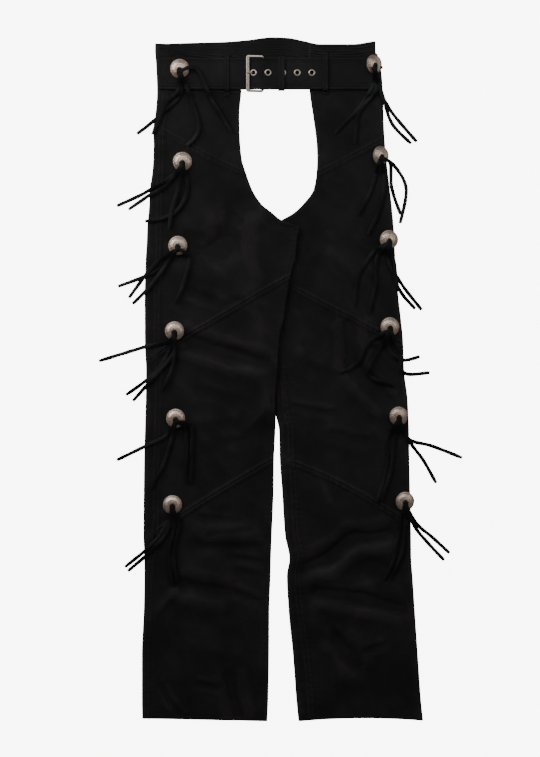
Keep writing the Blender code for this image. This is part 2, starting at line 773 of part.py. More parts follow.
def rounded_rectangle(spline, x0, x1, y0, y1, radius):
    """A closed outline with four arcs of four points each."""
    corners = ((x1 - radius, y1 - radius, 0), (x0 + radius, y1 - radius, 90),
               (x0 + radius, y0 + radius, 180), (x1 - radius, y0 + radius, 270))
    points = []
    for cx, cy, start in corners:
        for k in range(4):
            turn = math.radians(start + 30 * k)
            points.append((cx + radius * math.cos(turn), cy + radius * math.sin(turn)))
    spline.points.add(len(points) - 1)
    for point, (x, y) in zip(spline.points, points):
        point.co = (x * MM, y * MM, 0, 1)
    spline.use_cyclic_u = True


def buckle(kept):
    """The frame is tipped: its bar lies on the strap and its hinge bar under it."""
    run = HINGE_X - BUCKLE_BAR_X
    tilt = math.atan2(BUCKLE_BAR_Z - HINGE_Z, run)
    length = math.hypot(run, BUCKLE_BAR_Z - HINGE_Z)
    outline = bpy.data.curves.new("buckle_frame", "CURVE")
    outline.dimensions = "2D"
    outline.fill_mode = "BOTH"
    bevel = 0.5
    outline.bevel_depth = bevel * MM
    outline.bevel_resolution = 1
    outline.extrude = (BUCKLE_THICK / 2 - bevel) * MM
    half = BUCKLE_HEIGHT / 2
    outer_x0 = -BUCKLE_BAR_WIDTH / 2 + bevel
    outer_x1 = length + HINGE_BAR / 2 - bevel
    rounded_rectangle(outline.splines.new("POLY"), outer_x0, outer_x1,
                      -half + bevel, half - bevel, 3.0)
    inner_half = half - BUCKLE_SIDE_WIDTH
    rounded_rectangle(outline.splines.new("POLY"), BUCKLE_BAR_WIDTH / 2 - bevel,
                      length - HINGE_BAR / 2 + bevel, -inner_half - bevel, inner_half + bevel, 1.0)
    frame = bpy.data.objects.new("buckle_frame", outline)
    frame.location = Vector((BUCKLE_BAR_X, BELT_Y, BUCKLE_BAR_Z)) * MM
    frame.rotation_euler = (0, tilt, 0)
    kept.objects.link(frame)
    outline.materials.append(principled("buckle_frame", *METAL_FINISH))
    prong = bpy.data.curves.new("buckle_prong", "CURVE")
    prong.dimensions = "3D"
    prong.bevel_depth = PRONG_THICK / 2 * MM
    prong.bevel_resolution = 1
    prong.use_fill_caps = True
    path = ((-24.8, 7.2), (-25.7, 8.8), (-27.6, 9.5), (-29.6, 8.8), (-31.4, 6.4), (-37, 5.2),
            (-41.0, 5.9), (-42.6, 8.4), (-43.4, 11.4), (-45.8, 14.0), (-50, 15.1), (-54, 15.1))
    spline = prong.splines.new("POLY")
    spline.points.add(len(path) - 1)
    for point, (x, z) in zip(spline.points, path):
        point.co = (x * MM, EYELET_Y * MM, z * MM, 1)
    made = bpy.data.objects.new("buckle_prong", prong)
    kept.objects.link(made)
    prong.materials.append(principled("buckle_prong", *METAL_FINISH))


def turned(name, profile, steps, kept, finish):
    """A shape turned about Z from a profile of (radius, height) that runs down its outside."""
    shape = bmesh.new()
    points = [shape.verts.new(Vector((r, 0, z)) * MM) for r, z in profile]
    for here, there in zip(points, points[1:]):
        shape.edges.new((here, there))
    if profile[0][0] > 0 and profile[-1][0] > 0:
        shape.edges.new((points[-1], points[0]))
    mesh = bpy.data.meshes.new(name)
    shape.to_mesh(mesh)
    shape.free()
    made = add_object(name, mesh, kept, finish)
    spin = made.modifiers.new("Turned", "SCREW")
    spin.steps = steps
    spin.render_steps = steps
    spin.use_merge_vertices = True
    spin.merge_threshold = 0.00001
    return made


def eyelets(kept):
    for k in range(EYELET_COUNT):
        x = EYELET_FIRST_X + k * EYELET_PITCH
        slope = (strap_top(x + 3) - strap_top(x - 3)) / 6
        inner, outer = EYELET_HOLE_RADIUS, EYELET_RADIUS
        profile = ((inner, 0.9), (outer - 1.2, 0.9), (outer, 0.0), (inner, 0.0))
        made = turned(f"eyelet_{k + 1}", profile, 14, kept, METAL_FINISH)
        made.location = Vector((x, EYELET_Y, strap_top(x) + 0.35)) * MM
        made.rotation_euler = (0, -math.atan(slope), 0)


def concho_frame(x, y, tilt):
    """Where a concho sits: turned by its tilt and just clear of what is under it."""
    slope = math.tan(math.radians(tilt))
    seat = 0.0
    for ring in (0.0, 0.5, 0.95):
        for k in range(16):
            turn = math.tau * k / 16
            dx = ring * CONCHO_RADIUS * math.cos(turn) * math.cos(math.radians(tilt))
            dy = ring * CONCHO_RADIUS * math.sin(turn)
            seat = max(seat, cloth_top(x + dx, y + dy) + dx * slope)
    seat += LAY_GAP / math.cos(math.radians(tilt)) + 0.2
    return Matrix.Translation(Vector((x, y, seat)) * MM) @ Matrix.Rotation(
        math.radians(tilt), 4, "Y")


def cloth_top(x, y):
    """Height of the leather's top face at a place, with the belt, or 0 on the ground."""
    height = 0.0
    for leg in ("right", "left"):
        low, high = edges(leg, y)
        if y < -540 or y > 531 or not low < x < high:
            continue
        inset = min(x - low, high - x)
        base = rest_height(leg, x, y)
        if inset < EDGE_RADIUS:
            lift = math.sqrt(EDGE_RADIUS ** 2 - (EDGE_RADIUS - inset) ** 2)
            height = max(height, base + EDGE_RADIUS + lift)
        else:
            height = max(height, base + loft(leg, x, y))
    on_belt = abs(y - BELT_Y) < BELT_WIDTH / 2 + 0.6
    if on_belt and STRAP_PATH[0][0] - 0.6 < x < STRAP_PATH[-1][0]:
        height = max(height, strap_top(x))
    if on_belt and STRAP_PATH[-1][0] <= x < BILLET_END_X + 0.6:
        height = max(height, 9.0)
    return height


def conchos(kept, cutters):
    profile = ((0, CONCHO_HEIGHT), (7, 4.2), (12.5, 2.2), (CONCHO_RADIUS, CONCHO_RIM),
               (CONCHO_RADIUS, 0), (0, 0))
    for name, x, y, tilt in CONCHOS:
        made = turned(f"concho_{name}", profile, 14, kept, METAL_FINISH)
        place = concho_frame(x, y, tilt)
        made.matrix_world = place
        window = cutter_box(f"slot_{name}", (-SLOT_WIDTH / 2, SLOT_BOTTOM, -2),
                            (SLOT_WIDTH / 2, SLOT_TOP, 9), cutters, place)
        cut(made, window)


def dome_height(radius):
    if radius > CONCHO_RADIUS + 0.6:
        return 0.0
    profile = curve_through(((0, CONCHO_HEIGHT), (7, 4.2), (12.5, 2.3), (15.6, 1.5)))
    return profile(radius)


def stack_top(x, y, concho):
    """Height of what a lace lies on: leather, belt or its own concho."""
    height = cloth_top(x, y)
    _, cx, cy, tilt = concho
    place = concho_frame(cx, cy, tilt)
    reach = math.cos(math.radians(tilt))
    local_x = (x - cx) / reach
    radius = math.hypot(local_x, y - cy)
    if radius <= CONCHO_RADIUS + 0.6:
        top = place @ (Vector((local_x, y - cy, dome_height(radius))) * MM)
        height = max(height, top.z / MM)
    return height


def smooth_route(points, pitch):
    """Points about a pitch apart on a smooth curve through the given ones."""
    padded = [points[0]] + list(points) + [points[-1]]
    route = []
    for k in range(1, len(padded) - 2):
        before, here, there, after = (Vector(p) for p in padded[k - 1:k + 3])
        count = max(2, round((there - here).length / pitch))
        for step in range(count):
            t = step / count
            route.append(0.5 * (2 * here + (there - before) * t
                                + (2 * before - 5 * here + 4 * there - after) * t * t
                                + (3 * here - before - 3 * there + after) * t ** 3))
    route.append(Vector(points[-1]))
    return route


def lace_mesh(name, concho, layer, ends):
    """One flat lace of four sides, laid over what is under it."""
    _, cx, cy, tilt = concho
    root = (cx + 0.3, cy - 5.1)
    points = [root] + [picture_place(end) for end in ends]
    fine = smooth_route(points, 3.0)
    under = []
    for k, place in enumerate(fine):
        ahead = fine[min(k + 1, len(fine) - 1)] - fine[max(k - 1, 0)]
        side = Vector((-ahead.y, ahead.x)).normalized() * (LACE_WIDTH / 2 + 0.3)
        spots = (place - side, place, place + side)
        under.append(max(stack_top(spot.x, spot.y, concho) for spot in spots))
    travelled = [0.0]
    for here, there in zip(fine, fine[1:]):
        travelled.append(travelled[-1] + (there - here).length)
    heights = []
    for here in travelled:
        near = [z for s, z in zip(travelled, under) if abs(s - here) < LACE_POINT_PITCH]
        heights.append(max(near))
    total = travelled[-1]
    count = max(4, round(total / LACE_POINT_PITCH))
    lines = []
    for k in range(count + 1):
        s = total * k / count
        index = min(range(len(travelled)), key=lambda i: abs(travelled[i] - s))
        place = fine[index]
        ahead = fine[min(index + 1, len(fine) - 1)] - fine[max(index - 1, 0)]
        side = Vector((-ahead.y, ahead.x, 0)).normalized() * LACE_WIDTH / 2
        z = heights[index] + LACE_CLEAR + LACE_THICK / 2 + layer * LACE_STEP
        middle = Vector((place.x, place.y, z))
        up = Vector((0, 0, LACE_THICK / 2))
        lines.append([middle - side - up, middle + side - up, middle + side + up, middle - side + up])
    shape = bmesh.new()
    rings = [[shape.verts.new(point * MM) for point in line] for line in lines]
    for here, there in zip(rings, rings[1:]):
        for k in range(4):
            shape.faces.new((here[k], here[(k + 1) % 4], there[(k + 1) % 4], there[k]))
    shape.faces.new(rings[0][::-1])
    shape.faces.new(rings[-1])
    bmesh.ops.recalc_face_normals(shape, faces=shape.faces)
    mesh = bpy.data.meshes.new(name)
    shape.to_mesh(mesh)
    shape.free()
    return mesh


def tassels(kept):
    """Four laces that leave a concho's slot, fused where they pass through it."""
    for concho in CONCHOS:
        name, cx, cy, tilt = concho
        place = concho_frame(cx, cy, tilt)
        strands = bpy.data.collections.new(f"laces_{name}")
        bpy.context.scene.collection.children.link(strands)
        for layer, ends in enumerate(LACES[name]):
            strand_name = f"lace_{name}_{layer + 1}"
            strand = bpy.data.objects.new(strand_name, lace_mesh(strand_name, concho, layer, ends))
            strands.objects.link(strand)
            hide_helper(strand)
        shape = bmesh.new()
        bmesh.ops.create_cube(shape, size=1)
        top = CONCHO_HEIGHT + LACE_CLEAR + 3 * LACE_STEP + LACE_THICK + 0.6
        low = Vector((-SLOT_WIDTH / 2 + 0.4, SLOT_BOTTOM + 0.4, 0.2))
        high = Vector((SLOT_WIDTH / 2 - 0.4, SLOT_TOP - 0.4, top))
        bmesh.ops.scale(shape, vec=(high - low) * MM, verts=shape.verts)
        bmesh.ops.translate(shape, vec=(high + low) / 2 * MM, verts=shape.verts)
        shape.transform(place)
        mesh = bpy.data.meshes.new(f"tassel_{name}")
        shape.to_mesh(mesh)
        shape.free()
        head = add_object(f"tassel_{name}", mesh, kept, (BLACK_LACE, 0.45, 0.0))
        fuse = head.modifiers.new("Fused roots", "BOOLEAN")
        fuse.operation = "UNION"
        fuse.operand_type = "COLLECTION"
        fuse.collection = strands


def main():
    clear_scene()
    kept = new_collection("Leather chaps")
    cutters = new_collection("Cutters")
    legs(kept)
    waistbands(kept)
    belt(kept, cutters)
    belt_loops(kept)
    keeper(kept)
    buckle(kept)
    eyelets(kept)
    conchos(kept, cutters)
    tassels(kept)


main()
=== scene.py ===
# %% [markdown]
# # Leather chaps laid flat, front up
#
# Chaps are two leather legs that hang from a belt, open at the seat and the belly.
# These lie on a white table and are seen from straight above, so each leg is a flat
# tube: two layers of leather that touch, with a soft rounded edge at each side.
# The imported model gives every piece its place. This script gives them their looks:
# finer walls with creases and sewn seams, grain, stitches, engraved conchos and laces.

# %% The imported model
import math

import bmesh
import bpy
import numpy as np
from mathutils import Matrix, Vector


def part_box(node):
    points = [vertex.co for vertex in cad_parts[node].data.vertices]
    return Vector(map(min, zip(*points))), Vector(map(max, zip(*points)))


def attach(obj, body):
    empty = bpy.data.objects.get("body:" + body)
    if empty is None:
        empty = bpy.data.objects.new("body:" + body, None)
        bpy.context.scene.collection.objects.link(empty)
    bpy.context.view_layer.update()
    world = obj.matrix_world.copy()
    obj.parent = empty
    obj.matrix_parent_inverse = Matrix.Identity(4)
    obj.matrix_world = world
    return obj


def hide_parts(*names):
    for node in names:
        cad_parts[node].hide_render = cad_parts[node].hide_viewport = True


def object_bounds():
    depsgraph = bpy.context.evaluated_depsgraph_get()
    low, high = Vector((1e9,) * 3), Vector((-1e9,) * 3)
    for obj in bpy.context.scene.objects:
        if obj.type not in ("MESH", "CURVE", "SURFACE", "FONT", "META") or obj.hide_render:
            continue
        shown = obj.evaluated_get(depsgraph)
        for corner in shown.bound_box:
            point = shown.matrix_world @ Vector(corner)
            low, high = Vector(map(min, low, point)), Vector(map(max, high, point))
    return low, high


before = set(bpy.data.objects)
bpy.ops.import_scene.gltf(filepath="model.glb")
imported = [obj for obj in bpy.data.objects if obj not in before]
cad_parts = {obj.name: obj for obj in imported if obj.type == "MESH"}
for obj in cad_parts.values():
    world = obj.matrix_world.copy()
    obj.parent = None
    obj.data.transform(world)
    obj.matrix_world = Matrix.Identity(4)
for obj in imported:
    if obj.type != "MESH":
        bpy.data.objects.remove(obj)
cad_low, cad_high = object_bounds()
MM = 0.001
size_mm = [round((high - low) / MM, 1) for low, high in zip(cad_low, cad_high)]
print("packed model:", len(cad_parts), "nodes,", size_mm, "mm")

# %% [markdown]
# ## Camera, table and light
#
# The camera looks straight down. A long lens far away keeps the sides of the legs
# from leaning outwards, as in a catalogue picture. Black leather shows its shape only
# in what it mirrors, so the lights are large soft panels: one high on the left that
# puts a broad sheen on the folds, a weaker one on the right, and a big one overhead.

# %% Camera, table and light
PICTURE_WIDTH, PICTURE_HEIGHT = 540, 757
PICTURE_UNIT = 1.58
PICTURE_MIDDLE = (280.5, 379.0)
LENS, SENSOR = 120.0, 36.0
TABLE_GLOW = 8.0


def picture_place(point):
    """Millimetres on the table for a place in the picture."""
    return ((point[0] - PICTURE_MIDDLE[0]) * PICTURE_UNIT,
            (PICTURE_MIDDLE[1] - point[1]) * PICTURE_UNIT)


def add_camera():
    data = bpy.data.cameras.new("Camera")
    data.sensor_fit = "VERTICAL"
    data.sensor_height = SENSOR
    data.lens = LENS
    camera = bpy.data.objects.new("Camera", data)
    bpy.context.scene.collection.objects.link(camera)
    x, y = picture_place((PICTURE_WIDTH / 2, PICTURE_HEIGHT / 2))
    distance = PICTURE_HEIGHT * PICTURE_UNIT * LENS / SENSOR
    camera.location = Vector((x, y, distance)) * MM
    bpy.context.scene.camera = camera
    return camera


def add_light(name, place, aim, width, height, power):
    data = bpy.data.lights.new(name, "AREA")
    data.shape = "RECTANGLE"
    data.size = width
    data.size_y = height
    data.energy = power
    light = bpy.data.objects.new(name, data)
    bpy.context.scene.collection.objects.link(light)
    light.location = place
    light.rotation_euler = (Vector(aim) - Vector(place)).to_track_quat("-Z", "Y").to_euler()
    return light


def add_table():
    mesh = bpy.data.meshes.new("table")
    reach = 12.0
    corners = [(-reach, -reach, 0), (reach, -reach, 0), (reach, reach, 0), (-reach, reach, 0)]
    mesh.from_pydata([Vector(c) for c in corners], [], [(0, 1, 2, 3)])
    table = bpy.data.objects.new("table", mesh)
    bpy.context.scene.collection.objects.link(table)
    white = bpy.data.materials.new("white_table")
    white.use_nodes = True
    shader = white.node_tree.nodes["Principled BSDF"]
    shader.inputs["Base Color"].default_value = (0.93, 0.93, 0.93, 1)
    shader.inputs["Roughness"].default_value = 0.9
    shader.inputs["Emission Color"].default_value = (1, 1, 1, 1)
    seen = white.node_tree.nodes.new("ShaderNodeLightPath")
    glow = white.node_tree.nodes.new("ShaderNodeMath")
    glow.operation = "MULTIPLY"
    glow.inputs[1].default_value = TABLE_GLOW
    white.node_tree.links.new(seen.outputs["Is Camera Ray"], glow.inputs[0])
    white.node_tree.links.new(glow.outputs[0], shader.inputs["Emission Strength"])
    mesh.materials.append(white)
    return table


camera = add_camera()
add_table()
add_light("Window on the left", (-1.5, 1.25, 1.25), (-0.05, 0.15, 0), 1.5, 1.3, 15)
add_light("Window on the right", (1.9, 0.8, 1.5), (0, 0.1, 0), 1.2, 1.4, 4)
add_light("Ceiling", (0.1, 1.5, 2.2), (0, 0.1, 0), 2.4, 1.0, 10)
world = bpy.data.worlds.new("Studio")
world.use_nodes = True
world.node_tree.nodes["Background"].inputs["Color"].default_value = (1, 1, 1, 1)
world.node_tree.nodes["Background"].inputs["Strength"].default_value = 0.11
bpy.context.scene.world = world
print("camera height:", round(camera.location.z, 2), "m")

# %% [markdown]
# ## The outline of the legs
#
# The model's outline is a short table of sections: at each height y, the x of both
# edges of both legs. A smooth curve through each column gives every height between.
# numpy works out whole grids of points at once, so a fine wall costs little time.

# %% Sizes, in millimetres
LEATHER = 1.4
BAND_LEATHER = 2.0
STRAP_LEATHER = 2.4
BILLET_LEATHER = 2.0
LOOP_LEATHER = 1.4
EDGE_RADIUS = 3.3
LOFT = 5.6
LEAST_LOFT = 2 * LEATHER + 0.6
EDGE_REACH = 16.0
SEAM_GAP = -0.12
LAY_GAP = 0.4
TURN_UNDER = 15.0
STRIP_WIDTH = 30.0
QUARTER = 0.5 * math.pi * EDGE_RADIUS
HALF = math.pi * EDGE_RADIUS
RAISE = 7.5
RAISE_MARGIN = 12.0
RAISE_RAMP = 45.0
WAIST_Y = 450.0
BACK_TOP_Y = 458.8
BACK_INSET = 8.0
BACK_OPEN_Y = 232.0
LAP_CORNERS = ((-29, 238), (1, 250.5), (31, 238), (-8, -30))
LAP_FOOT = -30.0

# %% Leg sections: y, then x of the right leg's two edges and the left leg's two edges
LEG_SECTIONS = (
    (540, -198, -60, 43, 150),
    (517, -198.3, -60, 43, 150.3),
    (504, -197.1, -60, 43, 157),
    (453, -195, -61.8, 46, 161.8),
    (417, -197.6, -64.8, 51, 162.8),
    (393, -201, -64.6, 54.4, 163.7),
    (370, -200.4, -63.4, 57, 165.2),
    (346, -201, -60.7, 57.8, 167.4),
    (322, -203, -53.3, 56.4, 170),
    (299, -206.4, -44.6, 52, 172.8),
    (275, -207.4, -29, 34.6, 175.6),
    (262, -208.4, -13, 20.5, 176.8),
    (252, -209.4, -1, 3, 177.8),
    (245, -210.2, 13.5, -10, 178.4),
    (238, -210.6, 31, -29, 179),
    (220, -211.2, 27, -28, 180),
    (188, -213, 24, -25, 181.4),
    (169, -213.6, 18, -23, 182.8),
    (125, -214.6, 10, -20, 186.8),
    (93, -214.4, 5.5, -17, 190.6),
    (58, -214.3, -2, -14, 193.8),
    (14, -212.4, -4, -11, 195.2),
    (-30, -212.8, -7.6, -8.8, 200.7),
    (-52, -213.4, -7.3, -8.2, 201.9),
    (-81, -214.2, -8, -2.4, 203),
    (-128, -215.4, -10.2, -1.2, 203.6),
    (-175, -216, -10.8, 2.2, 204.6),
    (-246, -216.5, -13.6, 7, 206.2),
    (-284, -215, -15, 13.9, 206.6),
    (-310, -215, -15.6, 9.8, 208.6),
    (-365, -216, -17.6, 12.6, 212.2),
    (-436, -219, -18, 19.6, 217),
    (-507, -219, -19.3, 24.8, 222),
    (-540, -218.4, -20.8, 28.2, 225.4),
)

# %% Strips, seams, bands and folds
# Right leg's outer strip: y, width that shows on the front
OUTER_STRIP = ((453, 14), (360, 13), (283, 16), (204, 20), (-223, 20), (-326, 8), (-540, 7))

# Left leg's inseam, which has rolled on to the front: y, distance from the edge
INSEAM_ROLL = ((238, -2), (170, 2), (43, 9), (-5, 14), (-58, 17), (-133, 19),
               (-330, 17), (-408, 20), (-500, 22.5), (-540, 21.5))

# Seams across the front of a leg: y at the outer edge, y at the inner edge, bow
SEAMS = {
    "right": {"waist": (459, 449, 0), "hip": (397, 325, 0), "thigh": (30, 161, -2),
              "knee": (-253, -128, 3), "hem": (-536, -540, 0)},
    "left": {"waist": (459, 450, 0), "hip": (378, 325, 0), "thigh": (55, 166, 0),
             "knee": (-229, -126, 9), "hem": (-539, -540, 4)},
}

# Top edge of each waistband: x, y
BACK_BAND_TOP = ((-198, 529), (-143, 531), (-89, 532.5), (-51, 535.6), (-26, 539), (-13, 540),
                 (12, 539), (37, 534), (62, 529), (113, 529), (149, 534))
RIGHT_BAND_TOP = ((-198, 529.4), (-184, 529.2), (-174, 525.0), (-143, 517), (-89, 512), (-60, 509))
LEFT_BAND_TOP = ((43, 531), (62, 528), (113, 528), (149, 533))
BACK_BAND_BOTTOM = 459.3
BACK_BAND_ENDS = (-185.0, 138.0)

# Largest folds: leg, ends x y x y, height (a trough is negative), half width
FOLDS = (
    ("right", -150, 62, -75, 36, -2.2, 13),
    ("right", -75, 36, -12, 22, -2.2, 12),
    ("right", -146, 209, -88, 205, -1.9, 24),
    ("right", -90, 205, -72, 258, -1.7, 20),
    ("right", -154, -325, -92, -338, -1.7, 14),
    ("right", -127, -240, -30, -246, 1.3, 16),
    ("right", -79, -470, -66, -528, -1.5, 13),
    ("left", 110, 84, 116, 26, -1.9, 13),
    ("left", 116, 16, 164, -34, -2.1, 14),
    ("left", 32, -298, 78, -282, -1.9, 14),
    ("left", 78, -280, 112, -254, -2.0, 14),
    ("left", 112, -254, 164, -246, -1.9, 14),
    ("left", 60, -336, 132, -348, -1.7, 14),
    ("left", 132, -348, 192, -362, -1.5, 14),
    ("left", 92, -412, 118, -452, -1.5, 15),
)


# %% Smooth curves and steps
def mix(a, b, t):
    return a + (b - a) * t


def smooth(t):
    t = np.clip(t, 0.0, 1.0)
    return t * t * (3 - 2 * t)


def bell(t):
    return np.exp(-t * t)


def curve_through(rows):
    """A smooth function through (place, value) rows that never overshoots them."""
    rows = np.array(sorted(rows), float)
    places, values = rows[:, 0], rows[:, 1]
    spans = np.diff(places)
    rises = np.diff(values) / spans
    before, after = rises[:-1], rises[1:]
    total = np.where(before + after == 0, 1, before + after)
    inner = np.where(before * after <= 0, 0, 2 * before * after / total)
    slopes = np.concatenate([rises[:1], inner, rises[-1:]])

    def value(place):
        place = np.clip(place, places[0], places[-1])
        k = np.clip(np.searchsorted(places, place) - 1, 0, len(spans) - 1)
        t = (place - places[k]) / spans[k]
        start = values[k] * (1 + 2 * t) * (1 - t) ** 2 + slopes[k] * spans[k] * t * (1 - t) ** 2
        end = values[k + 1] * t * t * (3 - 2 * t) + slopes[k + 1] * spans[k] * t * t * (t - 1)
        return start + end

    return value


right_outer, right_inner, left_inner, left_outer = (
    curve_through([(row[0], row[column]) for row in LEG_SECTIONS]) for column in (1, 2, 3, 4))
outer_strip = curve_through(OUTER_STRIP)
inseam_roll = curve_through(INSEAM_ROLL)


def edges(leg, y):
    """Lower and higher x of a leg."""
    if leg == "right":
        return right_outer(y), right_inner(y)
    return left_inner(y), left_outer(y)


def top_length(leg, y):
    low, high = edges(leg, y)
    return high - low - 2 * EDGE_RADIUS


def left_inseam(y):
    """Where the left leg's inseam runs: half way round the edge, then on to the front."""
    rolled = np.maximum(inseam_roll(y), -2) + 2
    return -QUARTER + rolled * (QUARTER + 19 - EDGE_RADIUS) / 21


print("right leg at the thigh:", np.round(edges("right", 100.0), 1), "mm")

# %% [markdown]
# ## Folds, creases and seams as heights
#
# Leather does not drape like cloth: it keeps long soft folds with a rounded floor, and
# short tucks where one side stands up and the other dips. Both are drawn as lines with
# a depth and a width, uneven on purpose. Seams are welts: the joined edges are turned
# back and sewn down on both sides, which leaves a low flat ridge with a dark line
# along its middle. All of them add up to one height over the flat leather.


# %% Where the right leg climbs over the left one
def lap_distance(x, y):
    """How far a place lies outside the lap of the right leg over the left one."""
    distance = LAP_FOOT - y + 0 * x
    for here, there in zip(LAP_CORNERS, LAP_CORNERS[1:] + LAP_CORNERS[:1]):
        length = math.hypot(there[0] - here[0], there[1] - here[1])
        ax, ay = (there[0] - here[0]) / length, (there[1] - here[1]) / length
        distance = np.maximum(distance, (y - here[1]) * ax - (x - here[0]) * ay)
    return distance


def rest_height(leg, x, y):
    if leg != "right":
        return 0.0 * x
    return RAISE * (1 - smooth((lap_distance(x, y) - RAISE_MARGIN) / RAISE_RAMP))


# %% Creases: leg, ends in the picture x y x y, height, half width, lean
CREASES = (
    ("right", 240, 569, 264, 574, -0.9, 6, 0.6),
    ("right", 238, 591, 264, 601, -1.0, 6, 0.6),
    ("right", 199, 683, 218, 687, -0.7, 6, 0.3),
    ("right", 231, 680, 233, 696, -0.7, 6, 0.2),
    ("right", 233, 696, 239, 716, -0.6, 6, 0.2),
    ("right", 164, 688, 171, 702, -0.6, 5, 0.3),
    ("right", 171, 702, 181, 713, -0.6, 5, 0.3),
    ("right", 181, 585, 150, 617, 0.7, 8, 0.0),
    ("right", 202, 517, 236, 521, -0.6, 6, 0.4),
    ("right", 210, 532, 250, 528, -0.5, 6, 0.4),
    ("right", 205, 547, 262, 545, -0.5, 7, 0.2),
    ("right", 236, 556, 262, 560, -0.6, 5, 0.5),
    ("right", 180, 348, 214, 349, -1.0, 5, 0.7),
    ("right", 214, 354, 262, 366, -0.9, 5, 0.7),
    ("right", 222, 305, 262, 297, -0.4, 8, 0.2),
    ("right", 237, 300, 262, 310, -0.4, 7, 0.2),
    ("right", 190, 292, 214, 300, -0.4, 8, 0.0),
    ("right", 196, 250, 226, 247, -0.5, 8, 0.4),
    ("right", 176, 240, 200, 262, -0.5, 10, 0.2),
    ("right", 225, 215, 232, 262, 0.5, 9, 0.2),
    ("right", 200, 390, 245, 402, -0.35, 9, 0.2),
    ("right", 186, 420, 236, 414, 0.35, 11, 0.0),
    ("right", 226, 442, 262, 436, -0.35, 8, 0.3),
    ("right", 170, 500, 150, 532, 0.5, 9, 0.1),
    ("right", 176, 640, 226, 652, 0.35, 12, 0.0),
    ("right", 196, 618, 240, 640, -0.3, 12, 0.0),
    ("left", 350, 327, 353, 361, -0.9, 6, 0.5),
    ("left", 353, 369, 382, 400, -0.9, 6, 0.4),
    ("left", 371, 346, 386, 348, -0.8, 5, 0.5),
    ("left", 293, 405, 330, 412, -0.7, 6, 0.5),
    ("left", 362, 387, 382, 400, -0.6, 5, 0.5),
    ("left", 301, 567, 328, 558, -1.0, 7, 0.5),
    ("left", 328, 558, 338, 545, -1.0, 7, 0.5),
    ("left", 338, 545, 352, 540, -0.9, 6, 0.4),
    ("left", 352, 540, 384, 534, -0.8, 6, 0.3),
    ("left", 319, 592, 351, 594, -0.7, 6, 0.4),
    ("left", 351, 594, 368, 601, -0.7, 6, 0.4),
    ("left", 368, 601, 410, 611, -0.6, 7, 0.3),
    ("left", 334, 630, 343, 644, -0.5, 6, 0.2),
    ("left", 365, 650, 382, 645, -0.5, 6, 0.2),
    ("left", 344, 659, 358, 671, -0.5, 6, 0.2),
    ("left", 330, 250, 372, 286, 0.6, 10, 0.3),
    ("left", 318, 262, 348, 300, -0.5, 10, 0.2),
    ("left", 352, 245, 376, 262, -0.5, 9, 0.2),
    ("left", 300, 300, 332, 318, -0.4, 8, 0.3),
    ("left", 360, 300, 392, 330, -0.5, 8, 0.2),
    ("left", 300, 352, 345, 372, 0.4, 10, 0.1),
    ("left", 330, 432, 366, 440, -0.5, 8, 0.3),
    ("left", 372, 418, 392, 436, -0.5, 7, 0.3),
    ("left", 318, 470, 330, 500, 0.4, 9, 0.1),
    ("left", 372, 560, 404, 575, -0.5, 8, 0.2),
    ("left", 316, 620, 366, 640, 0.3, 12, 0.0),
)


def line_height(x, y, x0, y0, x1, y1, depth, width, lean=0.0):
    """A soft fold along a line: lean 0 is a trough, lean 1 a tuck with one side up."""
    length = math.hypot(x1 - x0, y1 - y0)
    ax, ay = (x1 - x0) / length, (y1 - y0) / length
    along = (x - x0) * ax + (y - y0) * ay
    across = ((x - x0) * ay - (y - y0) * ax) / width
    beyond = np.maximum(np.maximum(-along, along - length), 0) / width
    trough = (1 - across ** 2) * np.exp(-across ** 2 / 2)
    tuck = across * np.exp((1 - across ** 2) / 2)
    return depth * (mix(trough, tuck, lean)) * bell(beyond)


def slow_wave(x, y):
    return 0.5 * np.sin(x / 31 + y / 57) + 0.4 * np.sin(y / 43 - x / 70 + 1)


def small_waves(x, y):
    """The unevenness of a hide: a few crossing ripples of different lengths."""
    wave = 0.16 * np.sin(x / 9.1 + 1.3 * np.sin(y / 23)) * np.sin(y / 13 + x / 41)
    wave = wave + 0.20 * np.sin(y / 11.5 + 1.7 * np.sin(x / 29 + 1)) * np.sin(x / 37 - y / 90)
    return wave + 0.10 * np.sin((x + y) / 6.3 + np.sin(y / 17)) * np.sin((x - y) / 19)


FOLD_GAIN = 1.8
CREASE_GAIN = 1.4


def fold_height(leg, x, y):
    height = 0.0 * x
    for owner, *line in FOLDS:
        if owner == leg:
            height = height + FOLD_GAIN * line_height(x, y, *line)
    for owner, px0, py0, px1, py1, depth, width, lean in CREASES:
        if owner == leg:
            ends = picture_place((px0, py0)) + picture_place((px1, py1))
            height = height + CREASE_GAIN * line_height(x, y, *ends, depth, width, lean)
    return height


# %% Seams as welts
WELT_HALF = 4.6
STITCH_INSET = 0.9


def share_at(leg, x, y):
    """Share of the way from a leg's outer edge to its inner edge."""
    low, high = edges(leg, y)
    share = np.clip((x - low - EDGE_RADIUS) / (high - low - 2 * EDGE_RADIUS), 0, 1)
    return share if leg == "right" else 1 - share


def seam(leg, name):
    """Height in y of a seam across the front, from 0 at the outer edge to 1 at the inner."""
    outer, inner, bow = SEAMS[leg][name]
    return lambda u: mix(outer, inner, u) + bow * 4 * u * (1 - u)


def seam_distance(leg, name, x, y):
    outer, inner, _ = SEAMS[leg][name]
    low, high = edges(leg, y)
    slope = (inner - outer) / (high - low)
    return (y - seam(leg, name)(share_at(leg, x, y))) / np.sqrt(1 + slope ** 2)


def welt(distance, height):
    """A low flat ridge with a join along its middle and a row of stitches at each side."""
    away = np.abs(distance)
    ridge = height * smooth((WELT_HALF + 1.6 - away) / 2.4)
    join = -0.75 * bell(distance / 0.75)
    rows = -0.40 * bell((away - WELT_HALF + STITCH_INSET) / 0.6)
    return ridge + (join + rows) * height


